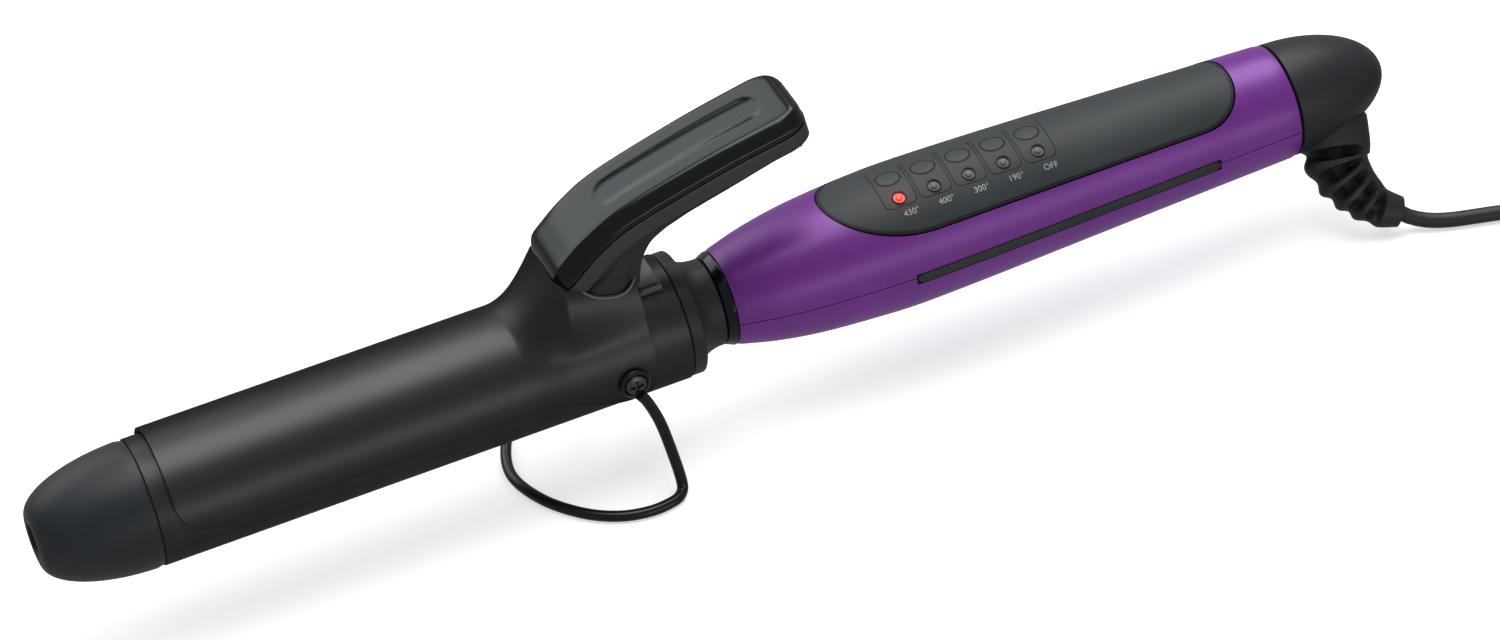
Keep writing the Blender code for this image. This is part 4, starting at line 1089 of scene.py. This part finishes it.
def build_buttons():
    """Soft keys that lie flush in the panel and follow its curve."""
    for k, x in enumerate(button_middles(), 1):
        low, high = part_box(f"button_{k}")
        half = ((high.x - low.x) / 2, (high.y - low.y) / 2)
        rings = [oval(x, half, low.z)]
        for drop, shrink in ((0.00030, 0.0), (0.00010, 0.00004), (0.0, 0.00020), (-0.00003, 0.0006),
                             (-0.00005, 0.0012), (-0.00005, 0.0020)):
            ring = oval(x, (half[0] - shrink, half[1] - shrink), 0.0)
            rings.append([(px, py, handle_point(px, py / handle_radius(px)).z - drop) for px, py, _ in ring])
        piece(f"push_button_{k}", loft(rings), "button_grey", f"button_{k}", "panel_grey", f"button_{k}",
              sharp=50)


def build_indicator_glow():
    """The lit indicator's faint red light on the panel round it."""
    data = bpy.data.lights.new("indicator_glow", "POINT")
    data.color = (1.0, 0.06, 0.02)
    data.energy = 0.0009
    data.shadow_soft_size = 0.0008
    data.use_shadow = False
    lamp = add_object("indicator_glow", data)
    lamp.location = led_place(button_middles()[0])(0.0022, 0.0, 0.0)
    lamp.visible_camera = False
    lamp.visible_glossy = False


def build_indicators():
    rim = soften([(-0.0009, LED_R + 0.00005), (0.00012, LED_R + 0.00005), (0.00012, LED_R + 0.0005),
                  (-0.0009, LED_R + 0.00028)], 0.0001)
    lens = [(-0.0030, 0.0), (-0.0030, LED_R), (-0.0003, LED_R), (-0.0003, DOME_R)]
    lens += [(0.0003 * s - 0.0001, DOME_R * c) for c, s in quarter(10)]
    for k, x in enumerate(button_middles(), 1):
        look = "indicator_lit" if k == 1 else "indicator_grey"
        place = led_place(x)
        piece(f"indicator_lens_{k}", lathe(lens, place, 40), look, "root", look, f"indicator_{k}", sharp=50)
        piece(f"indicator_rim_{k}", lathe(rim, place, 40), "line_dark", "root", "panel_grey", sharp=50)


def add_ribbon(bm, path, half_width, high=0.00006, deep=0.0002):
    """A fine raised line on the panel, along points of (x, arc distance from the top line towards +Y)."""
    rings = []
    total = len(path) - 1
    for k, (x, y) in enumerate(path):
        a, b = Vector(path[max(k - 1, 0)]), Vector(path[min(k + 1, total)])
        ahead = (b - a).normalized()
        side = Vector((-ahead.y, ahead.x)) * half_width
        ring = []
        for offset, level in ((-1, -deep), (-1, high * 0.4), (-0.5, high), (0.5, high), (1, high * 0.4),
                              (1, -deep)):
            px, py = x + side.x * offset, y + side.y * offset
            ring.append(handle_point(px, py / handle_radius(px), PANEL_TOP + level))
        rings.append(ring)
    add_loft(bm, rings)


def rounded_path(corners, radius, steps=6):
    out = [corners[0]]
    for a, b, c in zip(corners, corners[1:], corners[2:]):
        a, b, c = Vector(a), Vector(b), Vector(c)
        out += bent_corner(b + (a - b).normalized() * radius, b, b + (c - b).normalized() * radius, steps)
    out.append(corners[-1])
    dense = []
    for p, q in zip(out, out[1:]):
        parts = max(1, round((Vector(q) - Vector(p)).length / 0.0007))
        dense += list(zip(spread(p[0], q[0], parts), spread(p[1], q[1], parts)))[:-1]
    return dense + [out[-1]]


# painted shade: the dark line round the panel stands in for the shade in the recess at its edge
EDGE_SHADE_HALF = 0.00042
EDGE_SHADE_INSET = GAP + 0.0005


def build_panel_edge_shade():
    """A dark line that runs round the panel just inside its edge: painted shade of the recess between the
    panel and the handle.
    """
    edge = [(x, panel_half_angle(x, -EDGE_SHADE_INSET) * handle_radius(x))
            for x in panel_stations(-EDGE_SHADE_INSET)]
    path = [(x, -arc) for x, arc in edge] + edge[::-1]
    bm = bmesh.new()
    add_ribbon(bm, path + path[:1], EDGE_SHADE_HALF, high=0.00004, deep=0.0003)
    piece("panel_edge_shade", bm, "line_dark", "root", "panel_grey", sharp=60)


TILE_HALF = 0.0043
TILE_TOP = 0.0042
TILE_LOW = -0.0092
TILE_CORNER = 0.0020
TILE_GROOVE_SHADE = 0.00019         # half the width of the painted groove shade lines
RIM_LINE = 0.00012
RIM_OVAL = (0.00325, 0.00265)


def build_tiles():
    """Each button and its indicator sit on a tile with a round-cornered outline, drawn as a dark line that is
    painted shade of the outline's groove; a dark oval rings each button.
    """
    lines = bmesh.new()
    rims = bmesh.new()
    for x in button_middles():
        corners = [(x - TILE_HALF, TILE_TOP), (x - TILE_HALF, TILE_LOW), (x + TILE_HALF, TILE_LOW),
                   (x + TILE_HALF, TILE_TOP)]
        # painted shade: the dark line stands in for the shade in the tile outline's groove
        add_ribbon(lines, rounded_path(corners, TILE_CORNER), TILE_GROOVE_SHADE)
        ring = [(px, py) for px, py, _ in oval(x, RIM_OVAL, 0.0)]
        add_ribbon(rims, ring + ring[:1], RIM_LINE)
    piece("tile_groove_shade", lines, "line_dark", "root", "panel_grey", sharp=60)
    piece("button_rims", rims, "line_dark", "root", "panel_grey", sharp=60)


LABELS = ("430°", "400°", "300°", "190°", "OFF")
LABEL_SIZE = 0.0022
LABEL_PLACE = (0.0014, -0.0121)     # from the button's middle: along the handle, and round it


def build_labels():
    """Temperature settings printed under the indicators."""
    for k, (x, words) in enumerate(zip(button_middles(), LABELS), 1):
        font = bpy.data.curves.new("label", "FONT")
        font.body = words
        font.size = LABEL_SIZE
        font.extrude = 0.00002
        font.align_x = "CENTER"
        maker = add_object("label", font)
        mesh = finished_mesh(maker)
        bpy.data.objects.remove(maker)
        for v in mesh.vertices:
            px = x + LABEL_PLACE[0] + v.co.x
            arc = LABEL_PLACE[1] + v.co.y
            v.co = handle_point(px, arc / handle_radius(px), -0.00004 + v.co.z)
        settle(f"label_{k}", mesh, "label_print", "root", "panel_grey")


# ---- cord end -----------------------------------------------------------
def build_end_cap():
    low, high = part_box("end_cap")
    radius = (high.y - low.y) / 2
    neck = 0.0086
    shoulder = SEAM.x + 0.0002
    outline = [(low.x, 0.0), (low.x, neck), (SEAM.x, neck), (SEAM.x, radius - 0.0006)]
    outline += [(shoulder + (high.x - shoulder) * s, radius * c) for c, s in quarter(40)]
    piece("end_cap_shell", lathe(outline, around_x), "matte_black", "cord_end", "matte_black", "end_cap")


# X, and distance from the iron's axis along the horn's own direction
RELIEF_LINE = ((0.1618, 0.0080), (0.1616, 0.0150), (0.1607, 0.0205), (0.1620, 0.0257),
               (0.1644, 0.0303), (0.1672, 0.0338), (0.1722, 0.0368))
# half the horn's depth and width at the same points
RELIEF_HALF = ((0.0098, 0.0074), (0.0098, 0.0074), (0.0104, 0.0074), (0.0098, 0.0069),
               (0.0087, 0.0062), (0.0072, 0.0053), (0.0040, 0.0037))
RIB_COUNT = 5
RIB_SPAN = (0.225, 0.865)
SLOT_DEPTH = 0.62
SLOT_MIDDLE = 75            # degrees from the front
SLOT_HALF = 52


def build_strain_relief():
    """A tapered horn that sweeps back to the cord, with slots across its front."""
    along = Vector((1.0, 0.0, 0.0))
    side = along.cross(RELIEF_DOWN)
    route = smooth_route([along * x + RELIEF_DOWN * d for x, d in RELIEF_LINE], 0.00022)
    halves = smooth_route([(a, b, 0.0) for a, b in RELIEF_HALF], 0.00002)
    rings = []
    total = len(route) - 1
    for k, place in enumerate(route):
        share = k / total
        ahead = (route[min(k + 3, total)] - route[max(k - 3, 0)]).normalized()
        flat = ahead.cross(side).normalized()
        across = halves[round(share * (len(halves) - 1))]
        beat = (share - RIB_SPAN[0]) / (RIB_SPAN[1] - RIB_SPAN[0]) * RIB_COUNT
        ring = []
        for c, s in circle(FINE):
            front = c if flat.x < 0 else -c
            turned = math.degrees(math.acos(max(-1.0, min(1.0, front))))
            notch = 0.0
            if 0.0 < beat < RIB_COUNT:
                from_middle = abs(beat - math.floor(beat) - 0.5)
                window = max(0.0, 1 - (abs(turned - SLOT_MIDDLE) / SLOT_HALF) ** 4) ** 0.5
                notch = SLOT_DEPTH * ease((0.33 * window - from_middle) / 0.10 + 0.5) if window else 0.0
                front_dip = 0.16 * ease((60 - turned) / 40) * math.cos(math.pi * from_middle) ** 2
                notch = max(notch, front_dip)
            out = flat * across.x * c + side * across.y * s
            ring.append(UP * AXIS_Z + place + out * (1.0 - notch))
        rings.append(ring)
    relief = piece("cord_relief", loft(rings), "matte_black", "cord_end", "cord_black", "strain_relief",
                   sharp=60)
    low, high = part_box("end_cap")
    radius = (high.y - low.y) / 2 + 0.0001
    outline = [(SEAM.x - 0.004, 0.0), (SEAM.x - 0.004, radius)]
    outline += [(SEAM.x + (high.x - SEAM.x + 0.0001) * s, radius * c) for c, s in quarter(30)]
    cut(relief, lathe(outline, around_x, 64))
    return relief


HIDDEN_LOOKS = {
    "aluminium": ("heater_bar_upper", "heater_bar_lower", "triac_heatsink"),
    "ceramic": ("heating_element", "temperature_sensor", "barrel_collar", "heater_lead_near",
                "heater_lead_far"),
    "screw_steel": ("clamp_spring", "handle_screw_1", "handle_screw_2"),
    "circuit_green": ("circuit_board",),
    "gloss_black": ("smoothing_capacitor", "key_switch_1", "key_switch_2", "key_switch_3", "key_switch_4",
                    "key_switch_5"),
    "matte_black": ("swivel_socket", "cord_tie"),
    "blade_brass": ("plug_blade_near", "plug_blade_far"),
}


def dress_cad_nodes():
    for look, names in HIDDEN_LOOKS.items():
        for name in names:
            mesh = NODES[name].data
            mesh.materials.clear()
            mesh.materials.append(LOOKS[look])


cord, cord_exit, cord_length, cord_route = build_cord()
plug = build_plug()
build_cool_tip()
build_tip_screw()
build_barrel()
build_neck()
build_accent_ring()
build_clamp()
build_thumb_lever()
build_lever_skirt()
build_lever_arm()
build_lever_foot()
build_opening_rim()
build_spring_bracket()
build_pivot_screws()
build_stand_bosses()
build_wire_stand()
build_handle()
build_grip_strips()
build_panel()
build_panel_edge_shade()
build_buttons()
build_indicators()
build_indicator_glow()
build_tiles()
build_labels()
build_end_cap()
relief = build_strain_relief()
dress_cad_nodes()
